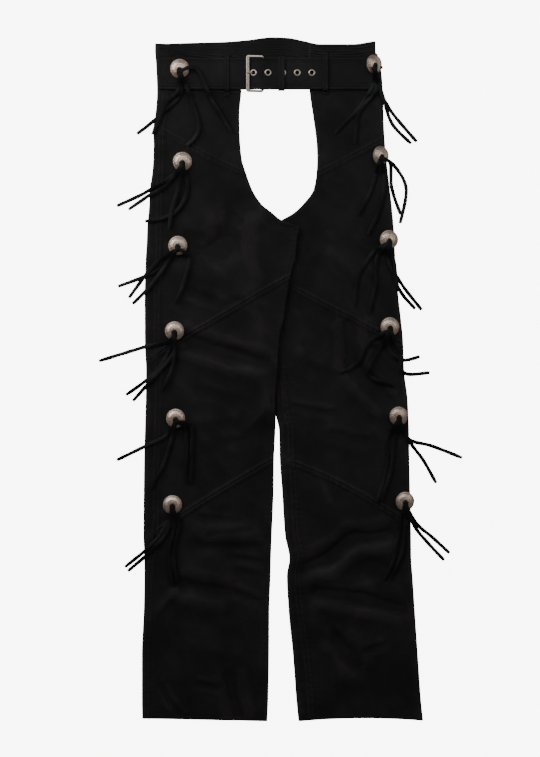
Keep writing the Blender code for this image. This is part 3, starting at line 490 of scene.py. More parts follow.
def pucker(distance, along, reach):
    """Little gathers beside a row of stitches."""
    beat = np.sin(along / 1.5 + 1.9 * np.sin(along / 11.0)) * np.sin(along / 23 + 1)
    return 0.22 * beat * np.exp(-np.maximum(np.abs(distance) - WELT_HALF, 0) / reach)


SEAM_HEIGHTS = {"hip": 0.55, "thigh": 1.0, "knee": 1.1}


def front_relief(leg, x, y):
    """Seams and small waves over the front of a leg."""
    height = small_waves(x, y)
    for name, size in SEAM_HEIGHTS.items():
        distance = seam_distance(leg, name, x, y)
        height = height + welt(distance, size)
        height = height + pucker(distance, x, 5.0) * size * smooth((60 - np.abs(distance)) / 50)
    low, high = edges(leg, y)
    if leg == "right":
        side = x - low - outer_strip(y)
        height = height + welt(side, 0.8) + 0.6 * pucker(side, y, 5.0)
        height = height + 0.9 * pucker(high - x + WELT_HALF, y, 7.0) * smooth((250 - y) / 20)
    else:
        side = x - low - EDGE_RADIUS - left_inseam(y)
        rolled = smooth((60 - y) / 40)
        height = height + (welt(side, 0.8) + 1.3 * pucker(side, y, 7.0)) * rolled
    return height * smooth((seam(leg, "waist")(share_at(leg, x, y)) + 1 - y) / 3)


# %% One section round a leg
def loft(leg, x, y):
    """Height of a leg's top face over its underside."""
    low, high = edges(leg, y)
    below_waist = smooth((WAIST_Y - y) / 60)
    near_low = bell(np.maximum(x - low - EDGE_RADIUS, 0) / EDGE_REACH)
    near_high = bell(np.maximum(high - x - EDGE_RADIUS, 0) / EDGE_REACH)
    if leg == "right":
        near_edge = np.maximum(near_low, near_high * below_waist)
    else:
        near_edge = np.maximum(near_low * below_waist, near_high)
    wander = (slow_wave(x, y) + fold_height(leg, x, y)) * below_waist
    if leg == "left":
        wander = wander * smooth(lap_distance(x, y) / 30)
    middle = np.maximum(LOFT + wander, LEAST_LOFT)
    relief = front_relief(leg, x, y)
    if leg == "left":
        relief = relief * smooth((lap_distance(x, y) + 6) / 20)
    return 2 * EDGE_RADIUS * near_edge + middle * (1 - near_edge) + relief


def under_height(leg, x, y):
    """The back lies flat on the table but for a few folds that rise off it."""
    lifted = np.maximum(line_height(x, y, -150, 20, -40, 44, 1.3, 9), 0)
    for x0, y0, x1, y1 in ((-190, -190, -90, -205), (-120, -330, -40, -318), (60, -40, 150, -22),
                           (90, -270, 190, -285), (40, -300, 110, -322), (70, 140, 150, 158),
                           (-190, 190, -110, 176), (110, -450, 190, -440)):
        lifted = lifted + np.maximum(line_height(x, y, x0, y0, x1, y1, 1.2, 8), 0)
    low, high = edges(leg, y)
    inside = smooth(np.minimum(x - low, high - x) / 20 - 0.6)
    return lifted * inside * smooth((WAIST_Y - y) / 60)


def section(leg, y, s):
    """Points at distances s round a leg's section, from where its top begins at low x."""
    low, high = edges(leg, y)
    r = EDGE_RADIUS
    top = high - low - 2 * r
    places = [low + r - s - HALF, low + r + r * np.sin(s / r), low + r + s,
              high - r + r * np.sin((s - top) / r)]
    stretches = [s < -HALF, s < 0, s <= top, s <= top + HALF]
    x = np.select(stretches, places, high - r - (s - top - HALF))
    flat = (s < -HALF) | (s > top + HALF)
    on_top = (s >= 0) & (s <= top)
    side = np.where(s < top / 2, low, high)
    measured = np.where(flat | on_top, x, side)
    base = rest_height(leg, measured, y)
    lofted = loft(leg, measured, y)
    turn = np.where(s < 0, s / r, (s - top) / r)
    round_edge = base + lofted / 2 * (1 + np.cos(turn))
    z = np.where(on_top, base + lofted, round_edge)
    z = np.where(flat, base + under_height(leg, x, y), z)
    return np.stack([x, y + 0 * s, z], -1)


def section_normal(leg, y, s):
    """Outward direction of a section at distances s round it."""
    step = 0.4
    along = section(leg, y, s + step) - section(leg, y, s - step)
    normal = np.stack([-along[..., 2], 0 * s, along[..., 0]], -1)
    return normal / np.linalg.norm(normal, axis=-1, keepdims=True)


def share_round(leg, y, s):
    low, _ = edges(leg, y)
    top = top_length(leg, y)
    beyond = top - np.maximum(s - top - HALF, 0)
    near = np.select([s < -HALF, s < 0, s <= top], [-s - HALF, 0 * s, s], beyond)
    share = np.clip(near / top, 0, 1)
    return share if leg == "right" else 1 - share


probe = section("right", np.array(-100.0), np.array(90.0))
print("front of the right leg at the knee:", np.round(probe, 2), "mm")

# %% [markdown]
# ## Leather as a material
#
# Black garment leather is a dark, slightly brown dye under a thin finish. Three things
# make it read as leather: a fine pebble grain, a soft cloudy change of gloss where the
# finish has worn, and paler, smoother skin on ridges that rub. The grain and the clouds
# are one node group, built once and placed in each leather with its own scale. The
# rubbed places come from an attribute that the mesh cells store on every point.


# %% Node helpers
def new_group(name, inputs, outputs):
    group = bpy.data.node_groups.new(name, "ShaderNodeTree")
    for label, kind, value in inputs:
        socket = group.interface.new_socket(label, in_out="INPUT", socket_type=kind)
        if value is not None:
            socket.default_value = value
    for label, kind in outputs:
        group.interface.new_socket(label, in_out="OUTPUT", socket_type=kind)
    return group, group.nodes.new("NodeGroupInput"), group.nodes.new("NodeGroupOutput")


def new_node(tree, kind, settings=(), **values):
    node = tree.nodes.new(kind)
    for key, value in settings:
        setattr(node, key, value)
    for key, value in values.items():
        node.inputs[key.replace("_", " ")].default_value = value
    return node


def math_node(tree, operation, first, second):
    node = tree.nodes.new("ShaderNodeMath")
    node.operation = operation
    for socket, value in zip(node.inputs, (first, second)):
        if isinstance(value, (int, float)):
            socket.default_value = value
        else:
            tree.links.new(value, socket)
    return node.outputs[0]


def ramp(tree, fac, low, high, start=0.0, end=1.0):
    """A soft step of a value from low to high."""
    node = tree.nodes.new("ShaderNodeMapRange")
    node.interpolation_type = "SMOOTHSTEP"
    tree.links.new(fac, node.inputs["Value"])
    node.inputs["From Min"].default_value = low
    node.inputs["From Max"].default_value = high
    node.inputs["To Min"].default_value = start
    node.inputs["To Max"].default_value = end
    return node.outputs["Result"]


# %% Grain group
def grain_group():
    """Pebbles of about a millimetre, finer pores, and clouds a few centimetres wide."""
    group, given, out = new_group(
        "Leather grain",
        [("Vector", "NodeSocketVector", None), ("Pebbles per metre", "NodeSocketFloat", 900.0),
         ("Clouds per metre", "NodeSocketFloat", 16.0)],
        [("Height", "NodeSocketFloat"), ("Clouds", "NodeSocketFloat"), ("Valleys", "NodeSocketFloat")])
    link = group.links.new
    warp = new_node(group, "ShaderNodeTexNoise", Scale=160.0, Detail=2.0)
    link(given.outputs["Vector"], warp.inputs["Vector"])
    bend = new_node(group, "ShaderNodeVectorMath", [("operation", "SCALE")])
    bend.inputs["Scale"].default_value = 0.0016
    link(warp.outputs["Color"], bend.inputs[0])
    place = new_node(group, "ShaderNodeVectorMath", [("operation", "ADD")])
    link(given.outputs["Vector"], place.inputs[0])
    link(bend.outputs[0], place.inputs[1])
    pebbles = new_node(group, "ShaderNodeTexVoronoi", [("feature", "DISTANCE_TO_EDGE")])
    link(place.outputs[0], pebbles.inputs["Vector"])
    link(given.outputs["Pebbles per metre"], pebbles.inputs["Scale"])
    pores = new_node(group, "ShaderNodeTexNoise", Scale=2600.0, Detail=3.0)
    link(place.outputs[0], pores.inputs["Vector"])
    skin = new_node(group, "ShaderNodeTexNoise", Scale=75.0, Detail=5.0, Roughness=0.62)
    link(given.outputs["Vector"], skin.inputs["Vector"])
    clouds = new_node(group, "ShaderNodeTexNoise", Detail=4.0, Roughness=0.55)
    link(given.outputs["Vector"], clouds.inputs["Vector"])
    link(given.outputs["Clouds per metre"], clouds.inputs["Scale"])
    rounded = ramp(group, pebbles.outputs["Distance"], 0.0, 0.22)
    height = math_node(group, "MULTIPLY", rounded, 0.62)
    height = math_node(group, "ADD", height, math_node(group, "MULTIPLY", pores.outputs["Fac"], 0.35))
    height = math_node(group, "ADD", height, math_node(group, "MULTIPLY", skin.outputs["Fac"], 1.4))
    link(height, out.inputs["Height"])
    link(clouds.outputs["Fac"], out.inputs["Clouds"])
    link(rounded, out.inputs["Valleys"])
    return group


LEATHER_GRAIN = grain_group()


# %% Leather material
def leather(name, dark, pale, gloss, pebbles, depth, clouds=16.0):
    """Painted shade in the grain's valleys, paler rubbed skin on the ridges, and a cloudy finish."""
    material = bpy.data.materials.new(name)
    material.use_nodes = True
    tree = material.node_tree
    link = tree.links.new
    shader = tree.nodes["Principled BSDF"]
    shader.inputs["Specular IOR Level"].default_value = 0.26
    shader.inputs["Sheen Weight"].default_value = 0.04
    shader.inputs["Sheen Roughness"].default_value = 0.5
    place = tree.nodes.new("ShaderNodeTexCoord")
    grain = tree.nodes.new("ShaderNodeGroup")
    grain.node_tree = LEATHER_GRAIN
    grain.inputs["Pebbles per metre"].default_value = pebbles
    grain.inputs["Clouds per metre"].default_value = clouds
    link(place.outputs["Object"], grain.inputs["Vector"])
    worn = new_node(tree, "ShaderNodeAttribute", [("attribute_name", "worn")])
    patchy = ramp(tree, grain.outputs["Clouds"], 0.3, 0.75, 0.35, 1.0)
    rubbed = math_node(tree, "MULTIPLY", worn.outputs["Fac"], patchy)
    clouded = ramp(tree, grain.outputs["Clouds"], 0.32, 0.68)
    body = new_node(tree, "ShaderNodeMix", [("data_type", "RGBA")])
    body.inputs[6].default_value = (*dark, 1)
    body.inputs[7].default_value = (*[mix(a, b, 0.42) for a, b in zip(dark, pale)], 1)
    link(clouded, body.inputs[0])
    skin = new_node(tree, "ShaderNodeMix", [("data_type", "RGBA")])
    link(body.outputs[2], skin.inputs[6])
    skin.inputs[7].default_value = (*pale, 1)
    link(rubbed, skin.inputs[0])
    # Painted shade: the base colour is darkened to about two thirds in the grain's valleys.
    grain_valley_shade = new_node(tree, "ShaderNodeMix", [("data_type", "RGBA"), ("blend_type", "MULTIPLY")])
    grain_valley_shade.inputs[0].default_value = 1.0
    link(skin.outputs[2], grain_valley_shade.inputs[6])
    shade = ramp(tree, grain.outputs["Valleys"], 0.0, 0.6, 0.66, 1.0)
    link(shade, grain_valley_shade.inputs[7])
    link(grain_valley_shade.outputs[2], shader.inputs["Base Color"])
    gloss_low, gloss_high = gloss
    rough = ramp(tree, grain.outputs["Clouds"], 0.3, 0.7, gloss_high, gloss_low)
    rough = math_node(tree, "SUBTRACT", rough, math_node(tree, "MULTIPLY", rubbed, 0.08))
    link(rough, shader.inputs["Roughness"])
    bump = new_node(tree, "ShaderNodeBump", Strength=1.0, Distance=depth)
    link(grain.outputs["Height"], bump.inputs["Height"])
    link(bump.outputs[0], shader.inputs["Normal"])
    return material


CHAP_LEATHER = leather("chap_leather", (0.0042, 0.0037, 0.0037), (0.024, 0.019, 0.019), (0.40, 0.60), 850,
                       0.00022)
BAND_LEATHER_LOOK = leather("band_leather", (0.0036, 0.0032, 0.0033), (0.020, 0.016, 0.017), (0.40, 0.56),
                            900, 0.00018)
BELT_LEATHER = leather("belt_leather", (0.0040, 0.0037, 0.0038), (0.022, 0.0195, 0.020), (0.38, 0.52), 1000,
                       0.00016)
LACE_LEATHER = leather("lace_leather", (0.0015, 0.0018, 0.0023), (0.007, 0.0085, 0.0105), (0.36, 0.50),
                       1400, 0.00010, 60.0)
print("leathers:", [m.name for m in bpy.data.materials if "leather" in m.name])

# %% [markdown]
# ## Metal and thread
#
# The buckle and eyelets are nickel with a warm tone and fine rub marks. The conchos are
# stamped from the same pale metal; their engraving holds dark tarnish, so the shader
# darkens what the mesh cells mark as deep. The thread is black, waxed and slightly glossy.


# %% Metal and thread materials
def metal(name, bright, dark, roughness, scratches):
    material = bpy.data.materials.new(name)
    material.use_nodes = True
    tree = material.node_tree
    link = tree.links.new
    shader = tree.nodes["Principled BSDF"]
    shader.inputs["Metallic"].default_value = 1.0
    place = tree.nodes.new("ShaderNodeTexCoord")
    rub = new_node(tree, "ShaderNodeTexNoise", Scale=scratches, Detail=6.0, Roughness=0.7)
    link(place.outputs["Object"], rub.inputs["Vector"])
    blotch = new_node(tree, "ShaderNodeTexNoise", Scale=260.0, Detail=3.0)
    link(place.outputs["Object"], blotch.inputs["Vector"])
    deep = new_node(tree, "ShaderNodeAttribute", [("attribute_name", "deep")])
    patches = ramp(tree, blotch.outputs["Fac"], 0.25, 0.7, 0.7, 1.0)
    tarnish = math_node(tree, "MULTIPLY", deep.outputs["Fac"], patches)
    colour = new_node(tree, "ShaderNodeMix", [("data_type", "RGBA")])
    colour.inputs[6].default_value = (*bright, 1)
    colour.inputs[7].default_value = (*dark, 1)
    link(tarnish, colour.inputs[0])
    link(colour.outputs[2], shader.inputs["Base Color"])
    rough = ramp(tree, rub.outputs["Fac"], 0.3, 0.75, roughness - 0.07, roughness + 0.12)
    rough = math_node(tree, "ADD", rough, math_node(tree, "MULTIPLY", tarnish, 0.25))
    link(rough, shader.inputs["Roughness"])
    bump = new_node(tree, "ShaderNodeBump", Strength=0.5, Distance=0.00004)
    link(rub.outputs["Fac"], bump.inputs["Height"])
    link(bump.outputs[0], shader.inputs["Normal"])
    return material


NICKEL = metal("nickel", (0.84, 0.72, 0.62), (0.10, 0.07, 0.05), 0.27, 900.0)
CONCHO_METAL = metal("concho_metal", (0.95, 0.75, 0.61), (0.05, 0.03, 0.02), 0.27, 700.0)


def thread_material():
    material = bpy.data.materials.new("black_thread")
    material.use_nodes = True
    tree = material.node_tree
    shader = tree.nodes["Principled BSDF"]
    place = tree.nodes.new("ShaderNodeTexCoord")
    twist = new_node(tree, "ShaderNodeTexNoise", Scale=1800.0, Detail=2.0)
    tree.links.new(place.outputs["Object"], twist.inputs["Vector"])
    colour = new_node(tree, "ShaderNodeMix", [("data_type", "RGBA")])
    colour.inputs[6].default_value = (0.008, 0.008, 0.009, 1)
    colour.inputs[7].default_value = (0.030, 0.029, 0.031, 1)
    tree.links.new(twist.outputs["Fac"], colour.inputs[0])
    tree.links.new(colour.outputs[2], shader.inputs["Base Color"])
    tree.links.new(ramp(tree, twist.outputs["Fac"], 0.3, 0.7, 0.42, 0.6), shader.inputs["Roughness"])
    return material


THREAD = thread_material()
print("metals and thread:", NICKEL.name, CONCHO_METAL.name, THREAD.name)

# %% [markdown]
# ## Walls of leather
#
# Every leather piece is a grid of points on the leg's section, and a second grid one
# leather thickness further in. The two are joined round the rim, so each piece is a
# closed wall. Rows and columns crowd together beside seams and edges, where the form
# turns quickly, and spread out over the flat middle of a panel.


# %% Grids
def spacing(from_start, count, from_end):
    """Places between two ends, as shares of the way and offsets in millimetres."""
    share = np.linspace(0, 1, count + 2)[1:-1]
    middle = from_start[-1] * (1 - share) + from_end[0] * share
    shares = np.concatenate([np.zeros(len(from_start)), share, np.ones(len(from_end))])
    return shares, np.concatenate([from_start, middle, from_end])


def rub(points):
    """How far each point of a grid stands proud of its neighbours, from 0 to 1."""
    height = points[..., 2]
    soft = height
    for _ in range(6):
        padded = np.pad(soft, 1, mode="edge")
        soft = (padded[:-2, 1:-1] + padded[2:, 1:-1] + padded[1:-1, :-2] + padded[1:-1, 2:]) / 4
    return np.clip((height - soft) / 0.16, 0, 1)


def finish_mesh(piece, material, sharp=40.0):
    mesh = piece.data
    mesh.materials.clear()
    mesh.materials.append(material)
    mesh.shade_smooth()
    mesh.set_sharp_from_angle(angle=math.radians(sharp))
    return piece


def wall(name, outside, inside, material):
    """A closed wall between two matching grids of points in millimetres."""
    rows, columns = outside.shape[:2]
    points = np.concatenate([outside.reshape(-1, 3), inside.reshape(-1, 3)]) * MM
    o = np.arange(rows * columns).reshape(rows, columns)
    i = o + rows * columns
    quads = [(o[:-1, :-1], o[:-1, 1:], o[1:, 1:], o[1:, :-1]),
             (i[:-1, :-1], i[1:, :-1], i[1:, 1:], i[:-1, 1:]),
             (o[:-1, 0], o[1:, 0], i[1:, 0], i[:-1, 0]),
             (o[:-1, -1], i[:-1, -1], i[1:, -1], o[1:, -1]),
             (o[0, :-1], i[0, :-1], i[0, 1:], o[0, 1:]),
             (o[-1, :-1], o[-1, 1:], i[-1, 1:], i[-1, :-1])]
    faces = np.concatenate([np.stack(quad, -1).reshape(-1, 4) for quad in quads])
    mesh = bpy.data.meshes.new(name)
    mesh.from_pydata(points.tolist(), [], faces.tolist())
    worn = np.concatenate([rub(outside).ravel(), np.zeros(rows * columns)])
    mesh.attributes.new("worn", "FLOAT", "POINT").data.foreach_set("value", worn)
    piece = bpy.data.objects.new(name, mesh)
    bpy.context.scene.collection.objects.link(piece)
    return finish_mesh(piece, material)


def leg_wall(name, leg, columns, lines, thickness, material, extra=None):
    """columns: start(y), end(y), shares, offsets. lines: low(u), high(u), shares, offsets."""
    start, end, across, aside = columns
    low, high, up, ahead = lines
    up, ahead = up[:, None], ahead[:, None]
    share = np.full((len(up), len(across)), 0.5)
    for _ in range(6):
        y = low(share) * (1 - up) + high(share) * up + ahead
        s = start(y) * (1 - across) + end(y) * across + aside
        share = share_round(leg, y, s)
    outside = section(leg, y, s)
    inside = outside - section_normal(leg, y, s) * thickness
    if extra is not None:
        on_top = (s >= 0) & (s <= top_length(leg, y))
        outside[..., 2] += np.where(on_top, extra(outside[..., 0], y), 0)
    return wall(name, outside, inside, material)


# %% Fronts
NEAR_SEAM = [0, 0.6, 1.2, 1.8, 2.4, 3.0, 3.5, 4.0, 4.6, 5.4, 6.4, 8.0]
GAP = SEAM_GAP / 2
ROW_STEP = 2.6
right_near_edge = [-14, -11, -8.5, -6.5, -5, -3.5, -2.2, -1, 0, 0.9, 1.8, 2.7, 3.6, 4.4, QUARTER - GAP]
left_round_edge = [-14, -11, -8, -5.5, -3.5, -1.7, 0, 1.3, 2.6, 3.9, 5.2, 6.5, 7.8, 9.1, HALF,
                   HALF + 5, HALF + TURN_UNDER - GAP]


def front_columns(leg):
    if leg == "right":
        shares, offsets = spacing(NEAR_SEAM, 62, right_near_edge)
        start = lambda y: outer_strip(y) - EDGE_RADIUS + GAP
        return start, lambda y: top_length("right", y), shares, offsets
    shares, offsets = spacing(NEAR_SEAM, 58, left_round_edge)
    return lambda y: left_inseam(y) + GAP, lambda y: top_length("left", y), shares, offsets


PANEL_SEAMS = (("lower", "hem", "knee"), ("knee", "knee", "thigh"), ("thigh", "thigh", "hip"),
               ("hip", "hip", "waist"))


def panel_rows(leg, low_name, high_name):
    low, high = seam(leg, low_name), seam(leg, high_name)
    longest = max(high(0.0) - low(0.0), high(1.0) - low(1.0))
    low_end = [0, 0.7, 2, 4, 7] if low_name == "hem" else NEAR_SEAM
    high_end = [-offset for offset in NEAR_SEAM[::-1]]
    shares, offsets = spacing(low_end, round(longest / ROW_STEP), high_end)
    offsets = offsets + mix(GAP, -GAP, shares)
    return low, high, shares, offsets


cloth = {}
for leg in ("right", "left"):
    for part, low_name, high_name in PANEL_SEAMS:
        name = f"{leg}_front_{part}"
        rows = panel_rows(leg, low_name, high_name)
        cloth[name] = leg_wall(name + "_leather", leg, front_columns(leg), rows, LEATHER, CHAP_LEATHER)
        print(name, len(cloth[name].data.polygons), "faces")

# %% [markdown]
# ## Backs and side strips
#
# A back panel turns round the edge to meet the front and lies flat on the table. Its
# free edge at the seat is cut a little lower than the front's. The strip down the
# outside of the right leg has rolled on to the front; the left one is underneath.


# %% Backs and side strips
def opening_inset(y):
    return BACK_INSET * smooth((y - BACK_OPEN_Y) / 20)


def right_back_start(y):
    return top_length("right", y) + QUARTER + GAP + opening_inset(y)


def right_back_end(y):
    return 2 * top_length("right", y) + HALF - TURN_UNDER - GAP


def left_back_start(y):
    return -(HALF + top_length("left", y) - TURN_UNDER - STRIP_WIDTH - GAP)


def left_back_end(y):
    return left_inseam(y) - GAP - opening_inset(y)


round_from_seam = [0, 0.8, 1.6, 2.4, 3.2, 4.0, 4.8, 5.6, 6.6, 8, 10]
round_to_seam = [-34, -31, -29, -27, -25, -23.2, -21.5, -20, -18.4, -16.8, -15.2, -13.6, -12, -10.5, -9,
                 -7.6, -6.4, -5.4, -4.6, -4.0, -3.4, -2.8, -2.2, -1.6, -1.1, -0.5, 0]
whole_rows = spacing([0, 1, 3], 205, [-3, -1, 0])


def whole_lines(leg, top_y=None):
    hem, waist = seam(leg, "hem"), seam(leg, "waist")
    top = waist if top_y is None else lambda u: top_y + 0 * u
    return hem, top, *whole_rows


long_pieces = (
    ("right_back", "right", (right_back_start, right_back_end, *spacing(round_from_seam, 42, [-6, -3, 0])),
     BACK_TOP_Y),
    ("left_back", "left", (left_back_start, left_back_end, *spacing([0, 3, 6], 30, round_to_seam)),
     BACK_TOP_Y),
    ("right_outer_strip", "right",
     (lambda y: -(HALF + TURN_UNDER - GAP) + 0 * y, lambda y: outer_strip(y) - EDGE_RADIUS - GAP,
      *spacing([0, 4, 8, 12, 14.9, 16.2, 17.5, 18.8, 20.1], 9,
               [-6.2, -5.4, -4.6, -4.0, -3.5, -3.0, -2.4, -1.8, -1.2, -0.6, 0])), None),
    ("left_outer_strip", "left",
     (lambda y: top_length("left", y) + HALF + TURN_UNDER + GAP,
      lambda y: top_length("left", y) + HALF + TURN_UNDER + STRIP_WIDTH - GAP,
      *spacing([0], 8, [0])), None))
for name, leg, columns, top_y in long_pieces:
    cloth[name] = leg_wall(name + "_leather", leg, columns, whole_lines(leg, top_y), LEATHER, CHAP_LEATHER)
    print(name, len(cloth[name].data.polygons), "faces")

# %% [markdown]
# ## Waistbands
#
# The band is two layers of leather quilted together along both edges: close rows of
# stitching leave small pillows about four millimetres wide. Each front band turns
# under at the side. The back band lies on the table, and its inside shows above the belt.

# %% Waistbands
CHANNEL = 4.1
TOP_CHANNELS = 5
LOW_CHANNELS = 4


def channels(distance, count):
    """Pillows between rows of stitches, counted in from an edge."""
    inside = (distance > 0) & (distance < CHANNEL * count)
    pillow = np.sqrt(np.abs(np.sin(np.pi * distance / CHANNEL)) + 1e-9)
    return np.where(inside, 0.62 * pillow - 0.25, 0.12)


RIB_HEIGHT = 1.6


def band_relief(leg, top_rows):
    edge, waist = curve_through(top_rows), seam(leg, "waist")

    def relief(x, y):
        height = np.minimum(channels(edge(x) - y, TOP_CHANNELS), 1)
        lower = channels(y - waist(share_at(leg, x, y)), LOW_CHANNELS)
        near_low = y < waist(share_at(leg, x, y)) + CHANNEL * LOW_CHANNELS
        return RIB_HEIGHT * np.where(near_low, lower, height) + 0.5 * small_waves(x, y)

    return relief


def right_band_start(y):
    return -HALF - (BACK_BAND_ENDS[0] - SEAM_GAP - edges("right", y)[0] - EDGE_RADIUS)


def left_band_end(y):
    top = top_length("left", y)
    return top + HALF + edges("left", y)[1] - EDGE_RADIUS - BACK_BAND_ENDS[1] - SEAM_GAP


band_columns = {
    "right": (right_band_start, lambda y: top_length("right", y),
              *spacing([0, 4, 8.5, 10, 11.4, 12.8, 14.2, 15.6, 17, 18.4, 20], 50,
                       [-2, -1, 0, 1.1, 2.2, 3.3, 4.3, QUARTER - GAP])),
    "left": (lambda y: 0 * y, left_band_end,
             *spacing([GAP - QUARTER, -4.3, -3.3, -2.2, -1.1, 0, 1, 2], 50,
                       [-20, -18.4, -17, -15.6, -14.2, -12.8, -11.4, -10, -8.5, -4, 0]))}
for leg, top_rows in (("right", RIGHT_BAND_TOP), ("left", LEFT_BAND_TOP)):
    name = f"{leg}_waistband"
    edge = curve_through(top_rows)
    outer_x, inner_x = (top_rows[0][0], top_rows[-1][0])[::1 if leg == "right" else -1]
    high = lambda u, e=edge, a=outer_x, b=inner_x: e(mix(a, b, u))
    rows = (seam(leg, "waist"), high, *spacing([GAP, 0.7, 1.5], 78, [-1.5, -0.7, 0]))
    cloth[name] = leg_wall(name + "_leather", leg, band_columns[leg], rows, BAND_LEATHER, BAND_LEATHER_LOOK,
                           band_relief(leg, top_rows))


def back_band():
    edge = curve_through(BACK_BAND_TOP)
    x = np.linspace(*BACK_BAND_ENDS, 150)[None, :]
    v = np.concatenate([np.linspace(0, 0.5, 10), np.linspace(0.5, 1, 60)[1:]])[:, None]
    y = mix(BACK_BAND_BOTTOM, edge(x), v)
    relief = channels(edge(x) - y, 7) + 0.4 * small_waves(x, y)
    rim = 0.5 * bell((edge(x) - y) / 0.8)
    top = np.stack([x + 0 * y, y, BAND_LEATHER + relief - rim], -1)
    bottom = np.stack([x + 0 * y, y, 0 * y], -1)
    return wall("back_waistband_leather", top, bottom, BAND_LEATHER_LOOK)


cloth["back_waistband"] = back_band()
print("leather pieces:", len(cloth))

# %% [markdown]
# ## Straps
#
# A belt, a loop and a lace are all ribbons: one rounded section carried along a path.
# The belt is two thick leathers with a bead along each edge, held by two rows of
# stitching. It runs from the buckle, under the right loop, and back over the left band.


# %% Ribbons
def unit(vectors):
    return vectors / np.maximum(np.linalg.norm(vectors, axis=-1, keepdims=True), 1e-9)


def tangents(path):
    return unit(np.gradient(path, axis=0))


def resample(path, pitch):
    """Points about a pitch apart along a line of straight stretches."""
    path = np.array(path, float)
    travelled = np.concatenate([[0], np.cumsum(np.linalg.norm(np.diff(path, axis=0), axis=1))])
    count = max(2, round(travelled[-1] / pitch) + 1)
    places = np.linspace(0, travelled[-1], count)
    return np.stack([np.interp(places, travelled, path[:, k]) for k in range(path.shape[1])], -1)


def soften(path, rounds):
    """Rounds the corners of a finely divided path, ends kept."""
    for _ in range(rounds):
        path[1:-1] = (path[:-2] + 2 * path[1:-1] + path[2:]) / 4
    return path


def ribbon_section(width, thickness, corner, columns):
    """A closed ring of (across, up) places, from the top's low side round to its bottom."""
    half = width / 2
    top = [(a, 0.0) for a in np.linspace(-half + corner, half - corner, columns)]
    turn = [(half - corner + corner * math.sin(t), -corner + corner * math.cos(t))
            for t in np.linspace(0, math.pi / 2, 5)[1:]]
    low = [(a, -corner - (thickness - 2 * corner) - (b + corner)) for a, b in turn[::-1]]
    side = turn + low
    bottom = [(a, -thickness) for a in np.linspace(half - corner, -half + corner, 5)]
    return np.array(top + side + bottom + [(-a, b) for a, b in side[::-1]][:-1])


def tube(name, rings, material, closed=False, worn=None):
    """A closed skin over rings of points in millimetres."""
    count, ring = rings.shape[:2]
    index = np.arange(count * ring).reshape(count, ring)
    around = np.roll(index, -1, axis=1)
    here, there = index[:-1], index[1:]
    here_next, there_next = around[:-1], around[1:]
    if closed:
        here, there = index, np.roll(index, -1, axis=0)
        here_next, there_next = around, np.roll(around, -1, axis=0)
    faces = np.stack([here, there, there_next, here_next], -1).reshape(-1, 4).tolist()
    if not closed:
        faces += [index[0].tolist(), index[-1][::-1].tolist()]
    mesh = bpy.data.meshes.new(name)
    mesh.from_pydata((rings.reshape(-1, 3) * MM).tolist(), [], faces)
    shape = bmesh.new()
    shape.from_mesh(mesh)
    bmesh.ops.recalc_face_normals(shape, faces=shape.faces)
    shape.to_mesh(mesh)
    shape.free()
    if worn is not None:
        mesh.attributes.new("worn", "FLOAT", "POINT").data.foreach_set("value", np.clip(worn, 0, 1).ravel())
    piece = bpy.data.objects.new(name, mesh)
    bpy.context.scene.collection.objects.link(piece)
    return finish_mesh(piece, material)


def ribbon(name, path, across, section_ring, material, relief=None, closed=False):
    """path runs along the middle of the top face; across is the direction of its width."""
    path = np.array(path, float)
    along = tangents(path)
    if closed:
        along = unit(np.roll(path, -1, axis=0) - np.roll(path, 1, axis=0))
    across = np.broadcast_to(np.array(across, float), path.shape)
    up = unit(np.cross(along, across))
    a, b = section_ring[:, 0], section_ring[:, 1]
    raised = np.zeros((len(path), len(a)))
    if relief is not None:
        travelled = np.concatenate([[0], np.cumsum(np.linalg.norm(np.diff(path, axis=0), axis=1))])
        raised = relief(a[None, :], travelled[:, None]) * (b > -0.5)[None, :]
    rings = path[:, None] + across[:, None] * a[None, :, None]
    rings = rings + up[:, None] * (b[None, :] + raised)[..., None]
    worn = 0.25 + 1.2 * raised - 0.25 * (b < -0.5)[None, :]
    return tube(name, rings, material, closed, worn)


# %% Belt
BELT_Y = 481.4
BELT_WIDTH = 50.2
HINGE_X, HINGE_Z = -27.6, 6.6
HINGE_LOOP_RADIUS = 4.0
EYELET_Y = 482.6
EYELET_PITCH = 23.0
EYELET_FIRST_X = -42.6
EYELET_COUNT = 5
STRAP_HOLE_RADIUS = 3.6
BILLET_END_X = 148.0
STRAP_PATH = ((-190, 9.4), (-165, 8.6), (-150, 8.4), (-100, 8.4), (-62, 8.4), (-50.5, 8.4),
              (-36, 12.7), (-31.5, 13.4), (-24, 13.4), (-18, 12.7), (-8, 11.3), (-3, 11.1),
              (30, 11.1), (70, 11.1))


def strap_top(x):
    """Height of the strap's top face, straight between the places on its path."""
    return np.interp(x, [row[0] for row in STRAP_PATH], [row[1] for row in STRAP_PATH])


def belt_relief(half):
    """A bead along each edge and a shallow groove under each row of stitches."""
    def relief(across, along):
        edge = half - np.abs(across)
        bead = 0.22 * bell((edge - 2.4) / 1.5) + 0.16 * bell((edge - 6.4) / 1.2)
        grooves = -0.38 * bell((edge - 4.6) / 0.6) - 0.32 * bell((edge - 8.2) / 0.6)
        wave = 0.10 * np.sin(along / 17 + across / 9) + 0.06 * np.sin(along / 7.3)
        return bead + grooves + wave * smooth(edge / 4)
    return relief


def belt_eyelet_x(k):
    return EYELET_FIRST_X + k * EYELET_PITCH


strap_path = soften(resample([(x, BELT_Y, z) for x, z in STRAP_PATH], 1.6), 2)
strap_ring = ribbon_section(BELT_WIDTH, 2.4, 0.8, 62)
belt_strap = ribbon("belt_strap_leather", strap_path, (0, 1, 0), strap_ring, BELT_LEATHER,
                    belt_relief(BELT_WIDTH / 2))


